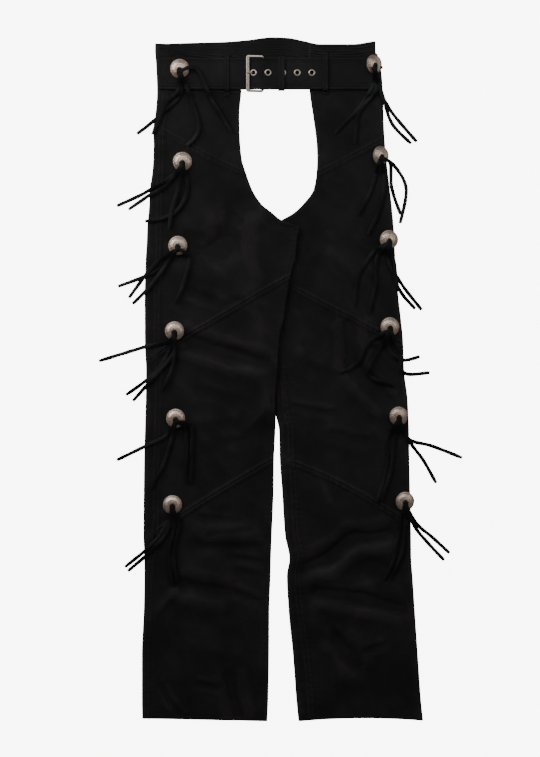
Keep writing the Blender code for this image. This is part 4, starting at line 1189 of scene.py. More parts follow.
def cut_away(piece, cutter):
    """Cuts one shape out of a piece for good, and removes the cutter."""
    hole = piece.modifiers.new("Cut", "BOOLEAN")
    hole.operation = "DIFFERENCE"
    hole.object = cutter
    bpy.context.view_layer.update()
    done = bpy.data.meshes.new_from_object(piece.evaluated_get(bpy.context.evaluated_depsgraph_get()))
    piece.modifiers.remove(hole)
    old = piece.data
    piece.data = done
    bpy.data.meshes.remove(old)
    bpy.data.objects.remove(cutter)
    return piece


def cylinders(places, radius, depth):
    shape = bmesh.new()
    for place in places:
        made = bmesh.ops.create_cone(shape, cap_ends=True, segments=40, radius1=radius * MM,
                                     radius2=radius * MM, depth=depth * MM)
        bmesh.ops.translate(shape, vec=Vector(place) * MM, verts=made["verts"])
    mesh = bpy.data.meshes.new("cutter")
    shape.to_mesh(mesh)
    shape.free()
    cutter = bpy.data.objects.new("cutter", mesh)
    bpy.context.scene.collection.objects.link(cutter)
    return cutter


holes = [(belt_eyelet_x(k), EYELET_Y, float(strap_top(belt_eyelet_x(k)))) for k in range(EYELET_COUNT)]
cut_away(belt_strap, cylinders(holes, STRAP_HOLE_RADIUS, 12))
print("belt strap:", len(belt_strap.data.polygons), "faces")

# %% Billet, loops and keeper
loop_turns = np.radians(np.linspace(-35, -333, 60))
billet_path = [(HINGE_X + HINGE_LOOP_RADIUS * math.cos(t), BELT_Y,
                HINGE_Z + HINGE_LOOP_RADIUS * math.sin(t)) for t in loop_turns]
flat_z = HINGE_Z + HINGE_LOOP_RADIUS * math.sin(loop_turns[-1])
billet_flat = [(-22, BELT_Y, flat_z), (110, BELT_Y, flat_z), (130, BELT_Y, 8.6), (BILLET_END_X, BELT_Y, 9.0)]
billet_path += [tuple(p) for p in resample(billet_flat, 2.0)]
billet_ring = ribbon_section(BELT_WIDTH, 2.0, 0.7, 62)
belt_billet = ribbon("belt_billet_leather", billet_path, (0, 1, 0), billet_ring, BELT_LEATHER,
                     belt_relief(BELT_WIDTH / 2))


def loop_relief(half):
    def relief(across, along):
        edge = half - np.abs(across)
        return 0.35 * bell((edge - 1.3) / 0.9) - 0.15 * bell(across / 0.7) + 0.05 * np.sin(along / 3.1)
    return relief


belt_loops = {}
band_top_z = LOFT + LAY_GAP
LOOP_FEET = ((-88.0, -80.6, 447.0), (66.6, 75.0, 449.6))
for name, (x0, x1, foot_y), belt_top in zip(("right_belt_loop", "left_belt_loop"), LOOP_FEET, (8.4, 11.1)):
    crest = belt_top + 0.3 + LOOP_LEATHER
    foot = band_top_z + LOOP_LEATHER + 0.2
    low, high = BELT_Y - BELT_WIDTH / 2 - 1.8, BELT_Y + BELT_WIDTH / 2 + 1.8
    x = (x0 + x1) / 2
    path = [(x, high + 7, foot), (x, high + 1.6, foot), (x, high, crest - 0.6), (x, high - 3.4, crest),
            (x, low + 3.4, crest), (x, low, crest - 0.6), (x, low - 1.6, foot), (x, foot_y, foot)]
    path = soften(resample(path, 0.9), 1)
    ring = ribbon_section(x1 - x0, LOOP_LEATHER, 0.5, 14)
    belt_loops[name] = ribbon(name + "_leather", path, (1, 0, 0), ring,
                              BAND_LEATHER_LOOK, loop_relief((x1 - x0) / 2))

KEEPER_X = (-3.6, 6.6)
keeper_low_y = BELT_Y - BELT_WIDTH / 2 - 0.4 - LOOP_LEATHER
keeper_high_y = BELT_Y + BELT_WIDTH / 2 + 0.4 + LOOP_LEATHER
keeper_low_z, keeper_high_z, corner = 4.6, 14.1, 1.2
keeper_ring = [(keeper_high_y, keeper_high_z - corner), (keeper_high_y - corner, keeper_high_z),
               (keeper_low_y + corner, keeper_high_z), (keeper_low_y, keeper_high_z - corner),
               (keeper_low_y, keeper_low_z + corner), (keeper_low_y + corner, keeper_low_z),
               (keeper_high_y - corner, keeper_low_z), (keeper_high_y, keeper_low_z + corner)]
keeper_ring.append(keeper_ring[0])
keeper_path = resample([(sum(KEEPER_X) / 2, y, z) for y, z in keeper_ring], 1.0)[:-1]
belt_keeper = ribbon("belt_keeper_leather", keeper_path, (1, 0, 0),
                     ribbon_section(KEEPER_X[1] - KEEPER_X[0], LOOP_LEATHER, 0.5, 14), BELT_LEATHER,
                     loop_relief((KEEPER_X[1] - KEEPER_X[0]) / 2), closed=True)
print("keeper and loops:", len(belt_keeper.data.polygons), "faces in the keeper")

# %% [markdown]
# ## Buckle and eyelets
#
# The buckle is a flat wire frame with rounded corners. Its left bar lies on the strap
# and its hinge bar is inside the billet's loop, so the frame is tipped. The prong
# wraps the hinge bar, comes up through the first eyelet and rests on the left bar.

# %% Buckle
BUCKLE_BAR_X, BUCKLE_BAR_Z = -51.7, 11.3
BUCKLE_BAR_WIDTH = 5.4
BUCKLE_SIDE_WIDTH = 3.8
BUCKLE_HEIGHT = 58.6
BUCKLE_THICK = 2.6
HINGE_BAR = 2.6
PRONG_THICK = 2.0


def rounded_outline(spline, x0, x1, y0, y1, radius):
    points = []
    for cx, cy, start in ((x1 - radius, y1 - radius, 0), (x0 + radius, y1 - radius, 90),
                          (x0 + radius, y0 + radius, 180), (x1 - radius, y0 + radius, 270)):
        for turn in np.radians(start + np.linspace(0, 90, 9)):
            points.append((cx + radius * math.cos(turn), cy + radius * math.sin(turn)))
    spline.points.add(len(points) - 1)
    for point, (x, y) in zip(spline.points, points):
        point.co = (x * MM, y * MM, 0, 1)
    spline.use_cyclic_u = True


def made_mesh(curve_object, name, matrix, material):
    """Turns a curve object into a plain mesh piece with its place in its points."""
    mesh = bpy.data.meshes.new_from_object(curve_object)
    mesh.transform(matrix)
    bpy.data.objects.remove(curve_object)
    piece = bpy.data.objects.new(name, mesh)
    mesh.name = name
    bpy.context.scene.collection.objects.link(piece)
    shape = bmesh.new()
    shape.from_mesh(mesh)
    bmesh.ops.remove_doubles(shape, verts=shape.verts, dist=0.000002)
    bmesh.ops.delete(shape, geom=[v for v in shape.verts if not v.link_faces], context="VERTS")
    bmesh.ops.recalc_face_normals(shape, faces=shape.faces)
    shape.to_mesh(mesh)
    shape.free()
    return finish_mesh(piece, material, 35.0)


def buckle_frame():
    run = HINGE_X - BUCKLE_BAR_X
    tilt = math.atan2(BUCKLE_BAR_Z - HINGE_Z, run)
    length = math.hypot(run, BUCKLE_BAR_Z - HINGE_Z)
    outline = bpy.data.curves.new("buckle", "CURVE")
    outline.dimensions = "2D"
    outline.fill_mode = "BOTH"
    bevel = 1.15
    outline.bevel_depth = bevel * MM
    outline.bevel_resolution = 5
    outline.extrude = (BUCKLE_THICK / 2 - bevel) * MM
    half = BUCKLE_HEIGHT / 2
    rounded_outline(outline.splines.new("POLY"), -BUCKLE_BAR_WIDTH / 2 + bevel,
                    length + HINGE_BAR / 2 - bevel,
                    -half + bevel, half - bevel, 3.0)
    inner = half - BUCKLE_SIDE_WIDTH
    rounded_outline(outline.splines.new("POLY"), BUCKLE_BAR_WIDTH / 2 - bevel,
                    length - HINGE_BAR / 2 + bevel,
                    -inner - bevel, inner + bevel, 1.2)
    made = bpy.data.objects.new("buckle", outline)
    place = Matrix.Translation(Vector((BUCKLE_BAR_X, BELT_Y, BUCKLE_BAR_Z)) * MM)
    place = place @ Matrix.Rotation(tilt, 4, "Y")
    return made_mesh(made, "buckle_frame_metal", place, NICKEL)


PRONG_PATH = ((-24.8, 7.2), (-25.7, 8.8), (-27.6, 9.5), (-29.6, 8.8), (-31.4, 6.4), (-37, 5.2),
              (-41.0, 5.9), (-42.6, 8.4), (-43.4, 11.4), (-45.8, 14.0), (-50, 15.1), (-54, 15.1))


def prong():
    curve = bpy.data.curves.new("prong", "CURVE")
    curve.dimensions = "3D"
    curve.bevel_depth = PRONG_THICK / 2 * MM
    curve.bevel_resolution = 4
    curve.use_fill_caps = True
    path = soften(resample(PRONG_PATH, 0.7), 2)
    spline = curve.splines.new("POLY")
    spline.points.add(len(path) - 1)
    for k, (point, (x, z)) in enumerate(zip(spline.points, path)):
        point.co = (x * MM, EYELET_Y * MM, z * MM, 1)
        point.radius = 1.0 - 0.45 * float(smooth((k - len(path) + 5) / 5))
    made = bpy.data.objects.new("prong", curve)
    return made_mesh(made, "buckle_prong_metal", Matrix.Identity(4), NICKEL)


buckle = buckle_frame()
buckle_prong = prong()


# %% Eyelets
def turned_piece(name, profile, steps, matrix, material, deep=None):
    """A ring turned about its own Z from a closed profile of (radius, height)."""
    angles = np.arange(steps) * math.tau / steps
    profile = np.array(profile, float)
    rings = np.stack([profile[None, :, 0] * np.cos(angles)[:, None],
                      profile[None, :, 0] * np.sin(angles)[:, None],
                      profile[None, :, 1] + 0 * angles[:, None]], -1)
    piece = tube(name, rings, material, closed=True)
    piece.data.transform(matrix)
    if deep is not None:
        values = np.broadcast_to(np.array(deep, float)[None, :], rings.shape[:2]).ravel()
        piece.data.attributes.new("deep", "FLOAT", "POINT").data.foreach_set("value", values)
    return piece


EYELET_PROFILE = [(3.2, 0.0), (3.2, 0.55), (3.35, 0.86), (3.65, 1.02), (4.1, 1.04), (4.6, 0.92),
                  (5.0, 0.66), (5.35, 0.36), (5.6, 0.05), (5.55, 0.0)]
EYELET_DEEP = [0.6, 0.5, 0.2, 0, 0, 0, 0, 0.1, 0.4, 0.4]
eyelets = []
for k in range(EYELET_COUNT):
    x = belt_eyelet_x(k)
    slope = float(strap_top(x + 3) - strap_top(x - 3)) / 6
    place = Matrix.Translation(Vector((x, EYELET_Y, float(strap_top(x)) + 0.35)) * MM)
    place = place @ Matrix.Rotation(-math.atan(slope), 4, "Y")
    eyelets.append(turned_piece(f"eyelet_{k + 1}_metal", EYELET_PROFILE, 40, place, NICKEL, EYELET_DEEP))
print("eyelets:", len(eyelets))

# %% [markdown]
# ## Conchos
#
# A concho is a stamped silver dome with an engraved rim, and a slot that the laces
# come through. A grid of rings and spokes makes the dome, so the engraving is a rule:
# a rope of notches round the rim, a ring groove, and a wreath of leaves inside it.
# Twelve conchos share the shape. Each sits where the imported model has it.

# %% Concho form
CONCHO_RADIUS = 15.0
CONCHO_HEIGHT = 4.6
SLOT_WIDTH = 9.6
SLOT_TOP, SLOT_BOTTOM = -0.5, -10.5
SPOKES = 144
NOTCHES = 36
LEAVES = 12
CONCHOS = (
    ("right_1", -158.8, 489.2, 0),
    ("right_2", -154.8, 343.0, 0),
    ("right_3", -162.0, 210.6, 0),
    ("right_4", -167.3, 75.8, 0),
    ("right_5", -165.4, -62.0, 0),
    ("right_6", -170.4, -198.2, 0),
    ("left_1", 146.9, 495.9, 34),
    ("left_2", 157.4, 352.0, 32),
    ("left_3", 170.8, 219.6, 14),
    ("left_4", 172.2, 82.2, 8),
    ("left_5", 186.0, -58.6, 12),
    ("left_6", 196.2, -192.8, 10),
)
dome_height = curve_through(((0, CONCHO_HEIGHT), (7, 4.2), (12.5, 2.3), (CONCHO_RADIUS, 1.5), (15.6, 1.4)))


def engraving(radius, angle):
    """Depth cut into the dome, in millimetres."""
    rope = 0.42 * smooth((radius - 12.9) / 0.4) * (0.5 + 0.5 * np.cos(NOTCHES * angle + radius * 1.1))
    ring = 0.30 * bell((radius - 12.5) / 0.35) + 0.22 * bell((radius - 6.2) / 0.3)
    inside = smooth((radius - 6.4) / 0.8) * smooth((12.2 - radius) / 0.8)
    swing = np.abs(np.sin(LEAVES / 2 * angle + 0.35 * (radius - 9)))
    rib = 0.26 * bell(swing / 0.16)
    tip = 0.24 * bell((radius - 10.6 - 1.2 * np.cos(LEAVES * angle)) / 0.35)
    return rope + ring + np.maximum(rib, tip) * inside


def concho_rings():
    """Rings from the middle out over the dome, then back under it."""
    radii = np.concatenate([np.linspace(0.02, 5.6, 5), np.linspace(6.0, 14.6, 36), [14.85, 15.0]])
    angles = np.arange(SPOKES) * math.tau / SPOKES
    radius, angle = np.meshgrid(radii, angles, indexing="ij")
    depth = engraving(radius, angle)
    top = np.stack([radius * np.cos(angle), radius * np.sin(angle), dome_height(radius) - depth], -1)
    under_radii = np.array([15.0, 14.6, 10.0, 0.02])[:, None] + 0 * angle[:1]
    heights = np.array([0.5, 0.0, 0.0, 0.0])[:, None] + 0 * angle[:1]
    under = np.stack([under_radii * np.cos(angle[:1]), under_radii * np.sin(angle[:1]), heights], -1)
    deep = np.concatenate([np.clip(depth / 0.3, 0, 1), np.full(heights.shape, 0.6)])
    return np.concatenate([top, under]), deep


def concho_place(name, x, y, tilt):
    """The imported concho's own place: its lowest point is the low edge of its tilted base."""
    low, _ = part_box("concho_" + name)
    seat = low.z / MM + CONCHO_RADIUS * math.sin(math.radians(tilt))
    return Matrix.Translation(Vector((x, y, seat)) * MM) @ Matrix.Rotation(math.radians(tilt), 4, "Y")


def slot_cutter(matrix):
    shape = bmesh.new()
    bmesh.ops.create_cube(shape, size=1)
    size = Vector((SLOT_WIDTH, SLOT_TOP - SLOT_BOTTOM, 14)) * MM
    bmesh.ops.scale(shape, vec=size, verts=shape.verts)
    bmesh.ops.translate(shape, vec=Vector((0, (SLOT_TOP + SLOT_BOTTOM) / 2, 3)) * MM, verts=shape.verts)
    upright = [e for e in shape.edges if abs(e.verts[0].co.z - e.verts[1].co.z) > 0.001]
    bmesh.ops.bevel(shape, geom=upright, offset=1.6 * MM, segments=4, affect="EDGES", profile=0.5)
    shape.transform(matrix)
    mesh = bpy.data.meshes.new("cutter")
    shape.to_mesh(mesh)
    shape.free()
    cutter = bpy.data.objects.new("cutter", mesh)
    bpy.context.scene.collection.objects.link(cutter)
    return cutter


concho_points, concho_deep = concho_rings()
conchos, concho_places = {}, {}
for index, (name, x, y, tilt) in enumerate(CONCHOS):
    place = concho_place(name, x, y, tilt)
    concho_places[name] = place
    piece = tube(f"concho_{name}_metal", concho_points, CONCHO_METAL)
    piece.data.attributes.new("deep", "FLOAT", "POINT").data.foreach_set("value", concho_deep.ravel())
    turn = Matrix.Rotation(index * 2.399, 4, "Z")
    piece.data.transform(place @ turn)
    cut_away(piece, slot_cutter(place))
    conchos[name] = finish_mesh(piece, CONCHO_METAL, 50.0)
print("conchos:", len(conchos), "with", len(conchos["left_1"].data.polygons), "faces each")

# %% [markdown]
# ## Laces
#
# Four flat leather laces come through each slot and fall over the concho on to the
# leg. Each lies on whatever is under it, so its height is worked out from the leather,
# the belt and its own concho. A lace turns a little on its way and narrows a little
# towards its end. All four start inside the slot, one above the other.

# %% Laces
LACE_WIDTH = 6.0
LACE_THICK = 0.9
LACE_STEP = 1.25
LACE_CLEAR = 0.6
LACE_HUG = 8.0
LACES = {
    "right_1": (((180, 95), (163, 114), (137, 134)),
                ((178, 92), (167, 104), (152.7, 135)),
                ((187.7, 90), (199, 128), (187, 146)),
                ((197, 69.6), (211, 99), (231.6, 132.5))),
    "right_2": (((169.4, 178.6), (145, 193), (117, 206)),
                ((166, 186.6), (149, 196), (128.6, 209.6)),
                ((187.7, 189), (175, 213), (145.3, 222)),
                ((177.4, 191), (171.5, 212), (169.4, 229))),
    "right_3": (((162.5, 268), (145, 276.5), (118, 286.5)),
                ((157, 263), (143, 279), (129, 298)),
                ((163.6, 269), (149, 288), (132.7, 304)),
                ((189, 258), (184, 282), (175.8, 303.5))),
    "right_4": (((168, 342), (145, 347), (99, 361)),
                ((171, 347.7), (155, 373), (126, 395)),
                ((173.5, 353.5), (156, 375), (133, 401)),
                ((174, 360), (169, 377.6), (163, 391))),
    "right_5": (((167, 435), (143.6, 447), (117, 460)),
                ((171, 441), (163, 466), (152, 489)),
                ((185, 428), (187, 452), (186.2, 483)),
                ((190.7, 426), (192, 449), (190.5, 483))),
    "right_6": (((165, 528), (149, 547), (125, 567)),
                ((168, 530), (153, 549), (128, 571)),
                ((174, 526), (170.5, 552), (172, 585)),
                ((179, 526), (173.5, 555), (178, 584))),
    "left_1": (((373, 86), (355, 113), (335, 134)),
               ((376, 90), (359, 113), (354.7, 144.5)),
               ((380, 92), (392, 113), (416.6, 142)),
               ((382, 95), (392, 124), (411, 144))),
    "left_2": (((374, 180), (368, 197), (358.6, 216)),
               ((384, 180), (381, 206), (367.5, 235)),
               ((390, 164), (391.5, 188), (400.5, 214.6)),
               ((394, 166), (406, 189), (400, 223.6))),
    "left_3": (((372, 254), (357, 283), (355, 307.7)),
               ((377, 257), (375, 285), (368.7, 313.5)),
               ((389, 263), (402, 285), (421.6, 310)),
               ((394, 263), (398, 288), (415, 309))),
    "left_4": (((371, 341), (359, 362), (339, 373)),
               ((381, 347), (368, 374), (392.8, 386)),
               ((388.5, 349), (402, 360), (419.8, 356.5)),
               ((399.7, 353), (404, 373), (429.6, 372.6))),
    "left_5": (((388, 440), (386, 470), (377, 502)),
               ((394, 444), (390, 472), (381, 502)),
               ((408.7, 439), (432, 446), (462, 457.7)),
               ((409, 441), (423, 460), (436, 483))),
    "left_6": (((397, 539), (393, 560), (384.6, 580)),
               ((404, 538), (400, 557), (390.8, 579)),
               ((417, 524), (432, 537), (449.5, 553)),
               ((415, 527), (428, 543), (444, 560))),
}


def leather_top(x, y):
    """Height of the leather or belt at places on the table, 0 beside the chaps."""
    height = 0.0 * x
    for leg in ("right", "left"):
        low, high = edges(leg, y)
        inset = np.minimum(x - low, high - x)
        base = rest_height(leg, x, y)
        lift = np.sqrt(np.clip(EDGE_RADIUS ** 2 - (EDGE_RADIUS - inset) ** 2, 0, None))
        top = np.where(inset < EDGE_RADIUS, EDGE_RADIUS + lift, loft(leg, x, y) + 0.3)
        height = np.where((inset > 0) & (y < 531), np.maximum(height, base + top), height)
    on_belt = np.abs(y - BELT_Y) < BELT_WIDTH / 2 + 0.6
    height = np.where(on_belt & (x > -190.6) & (x < 70), np.maximum(height, strap_top(x) + 0.2), height)
    return np.where(on_belt & (x >= 70) & (x < BILLET_END_X + 0.6), np.maximum(height, 9.2), height)


def pile_top(x, y, concho):
    """Height of what a lace lies on: leather, belt or its own concho."""
    name, cx, cy, tilt = concho
    tip = math.radians(tilt)
    local_x = (x - cx) / math.cos(tip)
    radius = np.hypot(local_x, y - cy)
    seat = concho_places[name].translation.z / MM
    dome = seat - local_x * math.sin(tip) + dome_height(radius) * math.cos(tip)
    return np.where(radius < CONCHO_RADIUS + 0.6, np.maximum(leather_top(x, y), dome), leather_top(x, y))


def smooth_route(points, pitch):
    """Points about a pitch apart on a smooth curve through the given ones."""
    padded = [points[0]] + list(points) + [points[-1]]
    route = []
    for k in range(1, len(padded) - 2):
        before, here, there, after = (np.array(p, float) for p in padded[k - 1:k + 3])
        count = max(2, round(float(np.linalg.norm(there - here)) / pitch))
        for t in np.arange(count) / count:
            route.append(0.5 * (2 * here + (there - before) * t
                                + (2 * before - 5 * here + 4 * there - after) * t * t
                                + (3 * here - before - 3 * there + after) * t ** 3))
    return np.array(route + [np.array(points[-1], float)])


def lace_rings(concho, layer, ends):
    """Rings of one lace, which lies over what is under it."""
    name, cx, cy, tilt = concho
    points = [(cx + 0.3, cy - 5.1)] + [picture_place(end) for end in ends]
    route = smooth_route(points, 1.6)
    side = np.stack([-np.gradient(route[:, 1]), np.gradient(route[:, 0])], -1)
    side = unit(side)
    reach = (LACE_WIDTH / 2 + 0.2) * side
    under = np.max([pile_top(*(route + k * reach).T, concho) for k in (-1, 0, 1)], axis=0)
    travelled = np.concatenate([[0], np.cumsum(np.linalg.norm(np.diff(route, axis=0), axis=1))])
    near = np.abs(travelled[:, None] - travelled[None, :]) < LACE_HUG
    height = np.max(np.where(near, under[None, :], -1), axis=1)
    for _ in range(8):
        height[1:-1] = (height[:-2] + 2 * height[1:-1] + height[2:]) / 4
    height = np.maximum(height, under) + LACE_CLEAR + LACE_THICK / 2 + layer * LACE_STEP
    seed = sum(map(ord, name)) + 7 * layer
    twist = 0.20 * np.sin(travelled / 21 + seed) + 0.10 * np.sin(travelled / 8 + 2 * seed)
    twist *= smooth(travelled / 12)
    left = travelled[-1] - travelled
    width = LACE_WIDTH * mix(0.82, 1.0, smooth(left / 9)) * (1 + 0.05 * np.sin(travelled / 5 + seed))
    half, thick = width[:, None] / 2, LACE_THICK / 2
    around = np.array([(-1, -0.55), (-0.86, -1), (0.86, -1), (1, -0.55), (1, 0.55), (0.86, 1), (0, 1.0),
                       (-0.86, 1), (-1, 0.55)])
    a, b = around[:, 0] * half, around[:, 1] * thick + 0 * half
    flat, up = a * np.cos(twist)[:, None] - b * np.sin(twist)[:, None], a * np.sin(twist)[:, None] + b
    rings = np.stack([route[:, :1] + side[:, :1] * flat, route[:, 1:] + side[:, 1:] * flat,
                      height[:, None] + up], -1)
    worn = np.broadcast_to(np.array([0.5, 0, 0, 0.5, 0.8, 0.5, 0.25, 0.5, 0.8]), rings.shape[:2])
    return rings, worn


def join(name, pieces, material):
    """Puts several meshes into one piece, their attributes with them."""
    shape = bmesh.new()
    for piece in pieces:
        shape.from_mesh(piece.data)
    mesh = bpy.data.meshes.new(name)
    shape.to_mesh(mesh)
    shape.free()
    for piece in pieces:
        bpy.data.objects.remove(piece)
    joined = bpy.data.objects.new(name, mesh)
    bpy.context.scene.collection.objects.link(joined)
    return finish_mesh(joined, material)


def knot(concho):
    """The stub of folded lace that fills the slot."""
    name = concho[0]
    shape = bmesh.new()
    made = bmesh.ops.create_uvsphere(shape, u_segments=20, v_segments=12, radius=1)
    for vert in made["verts"]:
        x, y, z = vert.co
        bulge = 1 + 0.12 * math.sin(5 * x + 3 * y)
        vert.co = Vector((math.copysign(abs(x) ** 0.55, x) * 4.3 * bulge,
                          math.copysign(abs(y) ** 0.6, y) * 6.0 - 3.7,
                          3.2 + z * 3.0)) * MM
    shape.transform(concho_places[name])
    mesh = bpy.data.meshes.new(f"knot_{name}")
    shape.to_mesh(mesh)
    shape.free()
    mesh.attributes.new("worn", "FLOAT", "POINT")
    piece = bpy.data.objects.new(f"knot_{name}", mesh)
    bpy.context.scene.collection.objects.link(piece)
    return piece


# Knots of a lace that is drawn through the edge beside the top left concho: picture x and y
EDGE_KNOTS = {"left_1": ((376.0, 56.0), (379.0, 61.0), (381.0, 68.0))}
KNOT_RADIUS = 2.9


def edge_knot(place):
    x, y = picture_place(place)
    shape = bmesh.new()
    bmesh.ops.create_uvsphere(shape, u_segments=14, v_segments=9, radius=KNOT_RADIUS * MM)
    bmesh.ops.translate(shape, vec=Vector((x, y, LOFT + 1.0)) * MM, verts=shape.verts)
    mesh = bpy.data.meshes.new("edge_knot")
    shape.to_mesh(mesh)
    shape.free()
    mesh.attributes.new("worn", "FLOAT", "POINT")
    piece = bpy.data.objects.new("edge_knot", mesh)
    bpy.context.scene.collection.objects.link(piece)
    return piece


tassels = {}
for concho in CONCHOS:
    strands = [knot(concho)] + [edge_knot(place) for place in EDGE_KNOTS.get(concho[0], ())]
    for layer, ends in enumerate(LACES[concho[0]]):
        rings, worn = lace_rings(concho, layer, ends)
        strands.append(tube(f"lace_{layer}", rings, LACE_LEATHER, worn=worn))
    tassels[concho[0]] = join(f"tassel_{concho[0]}_laces", strands, LACE_LEATHER)
print("tassels:", len(tassels))


# %% [markdown]
# ## Stitches
#
# Every seam is sewn with a thick waxed thread, about seven stitches to the inch. A row
# is only a line on the leather; Geometry Nodes walks along it and sets one small
# stretched bead at each step, sunk half into the leather so that it looks pulled tight.
# One node tree sews the whole garment: its pitch, length and thickness are inputs.


# %% Stitch tree
BEAD_FACES = 18


def stitch_tree():
    tree = bpy.data.node_groups.new("Sew a row", "GeometryNodeTree")
    tree.interface.new_socket("Geometry", in_out="INPUT", socket_type="NodeSocketGeometry")
    for label, value in (("Pitch", 0.0036), ("Stitch length", 0.0028), ("Thread width", 0.0008)):
        size = tree.interface.new_socket(label, in_out="INPUT", socket_type="NodeSocketFloat")
        size.default_value = value
    tree.interface.new_socket("Thread", in_out="INPUT", socket_type="NodeSocketMaterial")
    tree.interface.new_socket("Geometry", in_out="OUTPUT", socket_type="NodeSocketGeometry")
    given, out = tree.nodes.new("NodeGroupInput"), tree.nodes.new("NodeGroupOutput")
    link = tree.links.new
    curve = tree.nodes.new("GeometryNodeMeshToCurve")
    link(given.outputs["Geometry"], curve.inputs["Mesh"])
    steps = new_node(tree, "GeometryNodeCurveToPoints", [("mode", "LENGTH")])
    link(curve.outputs["Curve"], steps.inputs["Curve"])
    link(given.outputs["Pitch"], steps.inputs["Length"])
    bead = new_node(tree, "GeometryNodeMeshUVSphere", Segments=6, Rings=3, Radius=0.5)
    shape = tree.nodes.new("ShaderNodeCombineXYZ")
    link(given.outputs["Stitch length"], shape.inputs["X"])
    link(given.outputs["Thread width"], shape.inputs["Y"])
    link(given.outputs["Thread width"], shape.inputs["Z"])
    drawn = tree.nodes.new("GeometryNodeTransform")
    link(bead.outputs["Mesh"], drawn.inputs["Geometry"])
    link(shape.outputs[0], drawn.inputs["Scale"])
    turn = new_node(tree, "FunctionNodeAlignRotationToVector", [("axis", "X")])
    link(steps.outputs["Tangent"], turn.inputs["Vector"])
    sewn = tree.nodes.new("GeometryNodeInstanceOnPoints")
    link(steps.outputs["Points"], sewn.inputs["Points"])
    link(drawn.outputs["Geometry"], sewn.inputs["Instance"])
    link(turn.outputs["Rotation"], sewn.inputs["Rotation"])
    real = tree.nodes.new("GeometryNodeRealizeInstances")
    link(sewn.outputs["Instances"], real.inputs["Geometry"])
    finish = tree.nodes.new("GeometryNodeSetMaterial")
    link(real.outputs["Geometry"], finish.inputs["Geometry"])
    link(given.outputs["Thread"], finish.inputs["Material"])
    link(finish.outputs["Geometry"], out.inputs["Geometry"])
    return tree


SEWING = stitch_tree()
print("sewing tree:", len(SEWING.nodes), "nodes")


# %% Where the rows run
def smoothed(line, rounds=3):
    line = np.array(line, float)
    for _ in range(rounds):
        line[1:-1] = (line[:-2] + 2 * line[1:-1] + line[2:]) / 4
    return line


def on_front(leg, x, y, lift=0.0):
    """Points on the top face of a leg."""
    z = rest_height(leg, x, y) + loft(leg, x, y) + lift
    return np.stack([x, y, z], -1)


def front_row(leg, name, aside):
    """A row beside a seam that crosses the front, from one edge of the panel to the other."""
    outer, inner, _ = SEAMS[leg][name]
    low, high = edges(leg, (outer + inner) / 2)
    slope = (inner - outer) / (high - low)
    x = np.linspace(0, 1, 160)
    y = np.full(160, (outer + inner) / 2)
    for _ in range(8):
        low, high = edges(leg, y)
        if leg == "right":
            start, end = low + outer_strip(y) + 0.8, high - 1.2
        else:
            start, end = low + EDGE_RADIUS + np.maximum(left_inseam(y), -2.0) + 0.8, high - 1.2
        place = start + (end - start) * x
        y = seam(leg, name)(share_at(leg, place, y)) + aside * math.sqrt(1 + slope ** 2)
    return on_front(leg, place, y)


def side_row(leg, y0, y1, aside):
    """A row beside the strip's seam on the right leg, or the inseam on the left."""
    y = np.arange(y0, y1, 1.6)
    low, _ = edges(leg, y)
    across = outer_strip(y) if leg == "right" else EDGE_RADIUS + left_inseam(y)
    return on_front(leg, low + across + aside, y)


def band_rows(leg, top_rows):
    """Rows of quilting along both edges of a front band."""
    edge, waist = curve_through(top_rows), seam(leg, "waist")
    relief = band_relief(leg, top_rows)
    x0, x1 = top_rows[0][0] + 4, top_rows[-1][0] - 1
    if leg == "left":
        x0, x1 = top_rows[0][0] + 1, top_rows[-1][0] - 1
    x = np.arange(x0, x1, 1.5)
    rows = []
    for k in range(1, TOP_CHANNELS + 1):
        y = edge(x) - k * CHANNEL
        rows.append(on_front(leg, x, y) + np.stack([0 * x, 0 * x, relief(x, y)], -1))
    for k in range(1, LOW_CHANNELS + 1):
        y = waist(share_at(leg, x, edge(x))) + k * CHANNEL
        rows.append(on_front(leg, x, y) + np.stack([0 * x, 0 * x, relief(x, y)], -1))
    y = waist(share_at(leg, x, edge(x))) - 3.0
    rows.append(on_front(leg, x, y))
    return rows


def back_band_rows():
    edge = curve_through(BACK_BAND_TOP)
    rows = []
    for k in range(1, 7):
        x = np.arange(-150.0, 134.0, 1.5)
        y = edge(x) - k * CHANNEL
        rows.append(np.stack([x, y, BAND_LEATHER - 0.1 + 0 * x], -1))
    return rows


def belt_rows():
    """Two rows along each edge of the belt, on the strap and then on the billet."""
    rows = []
    for inset in (4.6, 8.2):
        for side in (-1, 1):
            y = BELT_Y + side * (BELT_WIDTH / 2 - inset)
            for start, end, top in ((-188.0, 68.5, strap_top), (76.0, 146.0, billet_top)):
                x = np.arange(start, end, 1.5)
                rows.append(np.stack([x, y + 0 * x, top(x) - 0.2], -1))
    return rows


def billet_top(x):
    return np.interp(x, [110, 130, BILLET_END_X], [flat_z, 8.6, 9.0])


def loop_rows():
    """A bar of close stitches across the foot and the head of each loop."""
    rows = []
    for x0, x1, foot_y in LOOP_FEET:
        for y in (foot_y + 1.2, foot_y + 2.4, BELT_Y + BELT_WIDTH / 2 + 7.0):
            x = np.arange(x0 + 0.9, x1 - 0.7, 0.5)
            rows.append(np.stack([x, y + 0 * x, band_top_z + LOOP_LEATHER + 0.25 + 0 * x], -1))
    return rows


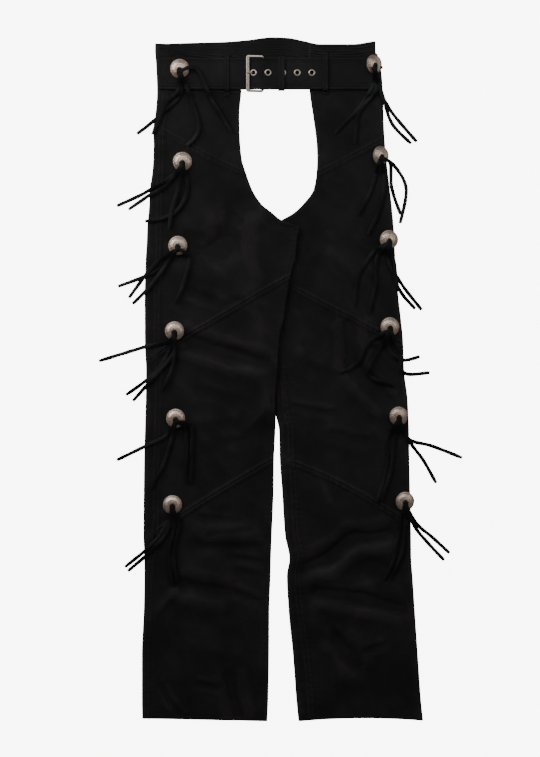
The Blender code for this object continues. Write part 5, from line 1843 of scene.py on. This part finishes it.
# %% Sew
def sew(name, rows, pitch=0.0036, length=0.0028, width=0.0008):
    """Runs the sewing tree over rows of points and keeps the result as a plain mesh."""
    points, links = [], []
    for row in rows:
        first = len(points)
        points += (smoothed(row) * MM).tolist()
        links += [(first + k, first + k + 1) for k in range(len(row) - 1)]
    mesh = bpy.data.meshes.new(name)
    mesh.from_pydata(points, links, [])
    piece = bpy.data.objects.new(name, mesh)
    bpy.context.scene.collection.objects.link(piece)
    sewing = piece.modifiers.new("Sew", "NODES")
    sewing.node_group = SEWING
    sockets = {item.name: item.identifier for item in SEWING.interface.items_tree
               if item.item_type == "SOCKET" and item.in_out == "INPUT"}
    sewing[sockets["Pitch"]] = pitch
    sewing[sockets["Stitch length"]] = length
    sewing[sockets["Thread width"]] = width
    sewing[sockets["Thread"]] = THREAD
    bpy.context.view_layer.update()
    done = bpy.data.meshes.new_from_object(piece.evaluated_get(bpy.context.evaluated_depsgraph_get()))
    piece.modifiers.remove(sewing)
    piece.data = done
    bpy.data.meshes.remove(mesh)
    done.name = name
    done.shade_smooth()
    print(name, len(done.polygons) // BEAD_FACES, "stitches")
    return piece


BESIDE = WELT_HALF - STITCH_INSET
stitches = {}
for leg, top_y in (("right", 452.0), ("left", 66.0)):
    rows = [front_row(leg, name, aside) for name in SEAM_HEIGHTS for aside in (-BESIDE, BESIDE)]
    rows += [side_row(leg, -537.0, top_y, aside) for aside in (-BESIDE, BESIDE)]
    stitches[f"{leg}_leg"] = sew(f"{leg}_leg_stitches", rows)
quilting = band_rows("right", RIGHT_BAND_TOP) + band_rows("left", LEFT_BAND_TOP) + back_band_rows()
stitches["bands"] = sew("band_stitches", quilting)
stitches["belt"] = sew("belt_stitches", belt_rows(), 0.0038, 0.0030, 0.0009)
stitches["loops"] = sew("loop_bartacks", loop_rows(), 0.0010, 0.0020, 0.0008)
# %% [markdown]
# ## Handing the pieces over
#
# Each piece rides on the model's one body and replaces the plain solid that it stands
# for.


def stands_for(piece, node):
    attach(piece, "root")
    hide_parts(node)


for name, piece in cloth.items():
    stands_for(piece, name)
    rests_on = ["table"] if "back" in name or "strip" in name else [f"{name.split('_')[0]}_back_leather"]
for piece, node in ((belt_strap, "belt_strap"), (belt_billet, "belt_billet"), (belt_keeper, "belt_keeper"),
                    (belt_loops["right_belt_loop"], "right_belt_loop"),
                    (belt_loops["left_belt_loop"], "left_belt_loop")):
    stands_for(piece, node)
stands_for(buckle, "buckle_frame")
stands_for(buckle_prong, "buckle_prong")
for k, piece in enumerate(eyelets):
    stands_for(piece, f"eyelet_{k + 1}")
for name, piece in conchos.items():
    stands_for(piece, f"concho_{name}")
for name, piece in tassels.items():
    stands_for(piece, f"tassel_{name}")

for name, piece in stitches.items():
    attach(piece, "root")

# %% Sizes
print("model:", [round(v / MM, 1) for v in (*cad_low, *cad_high)], "mm")
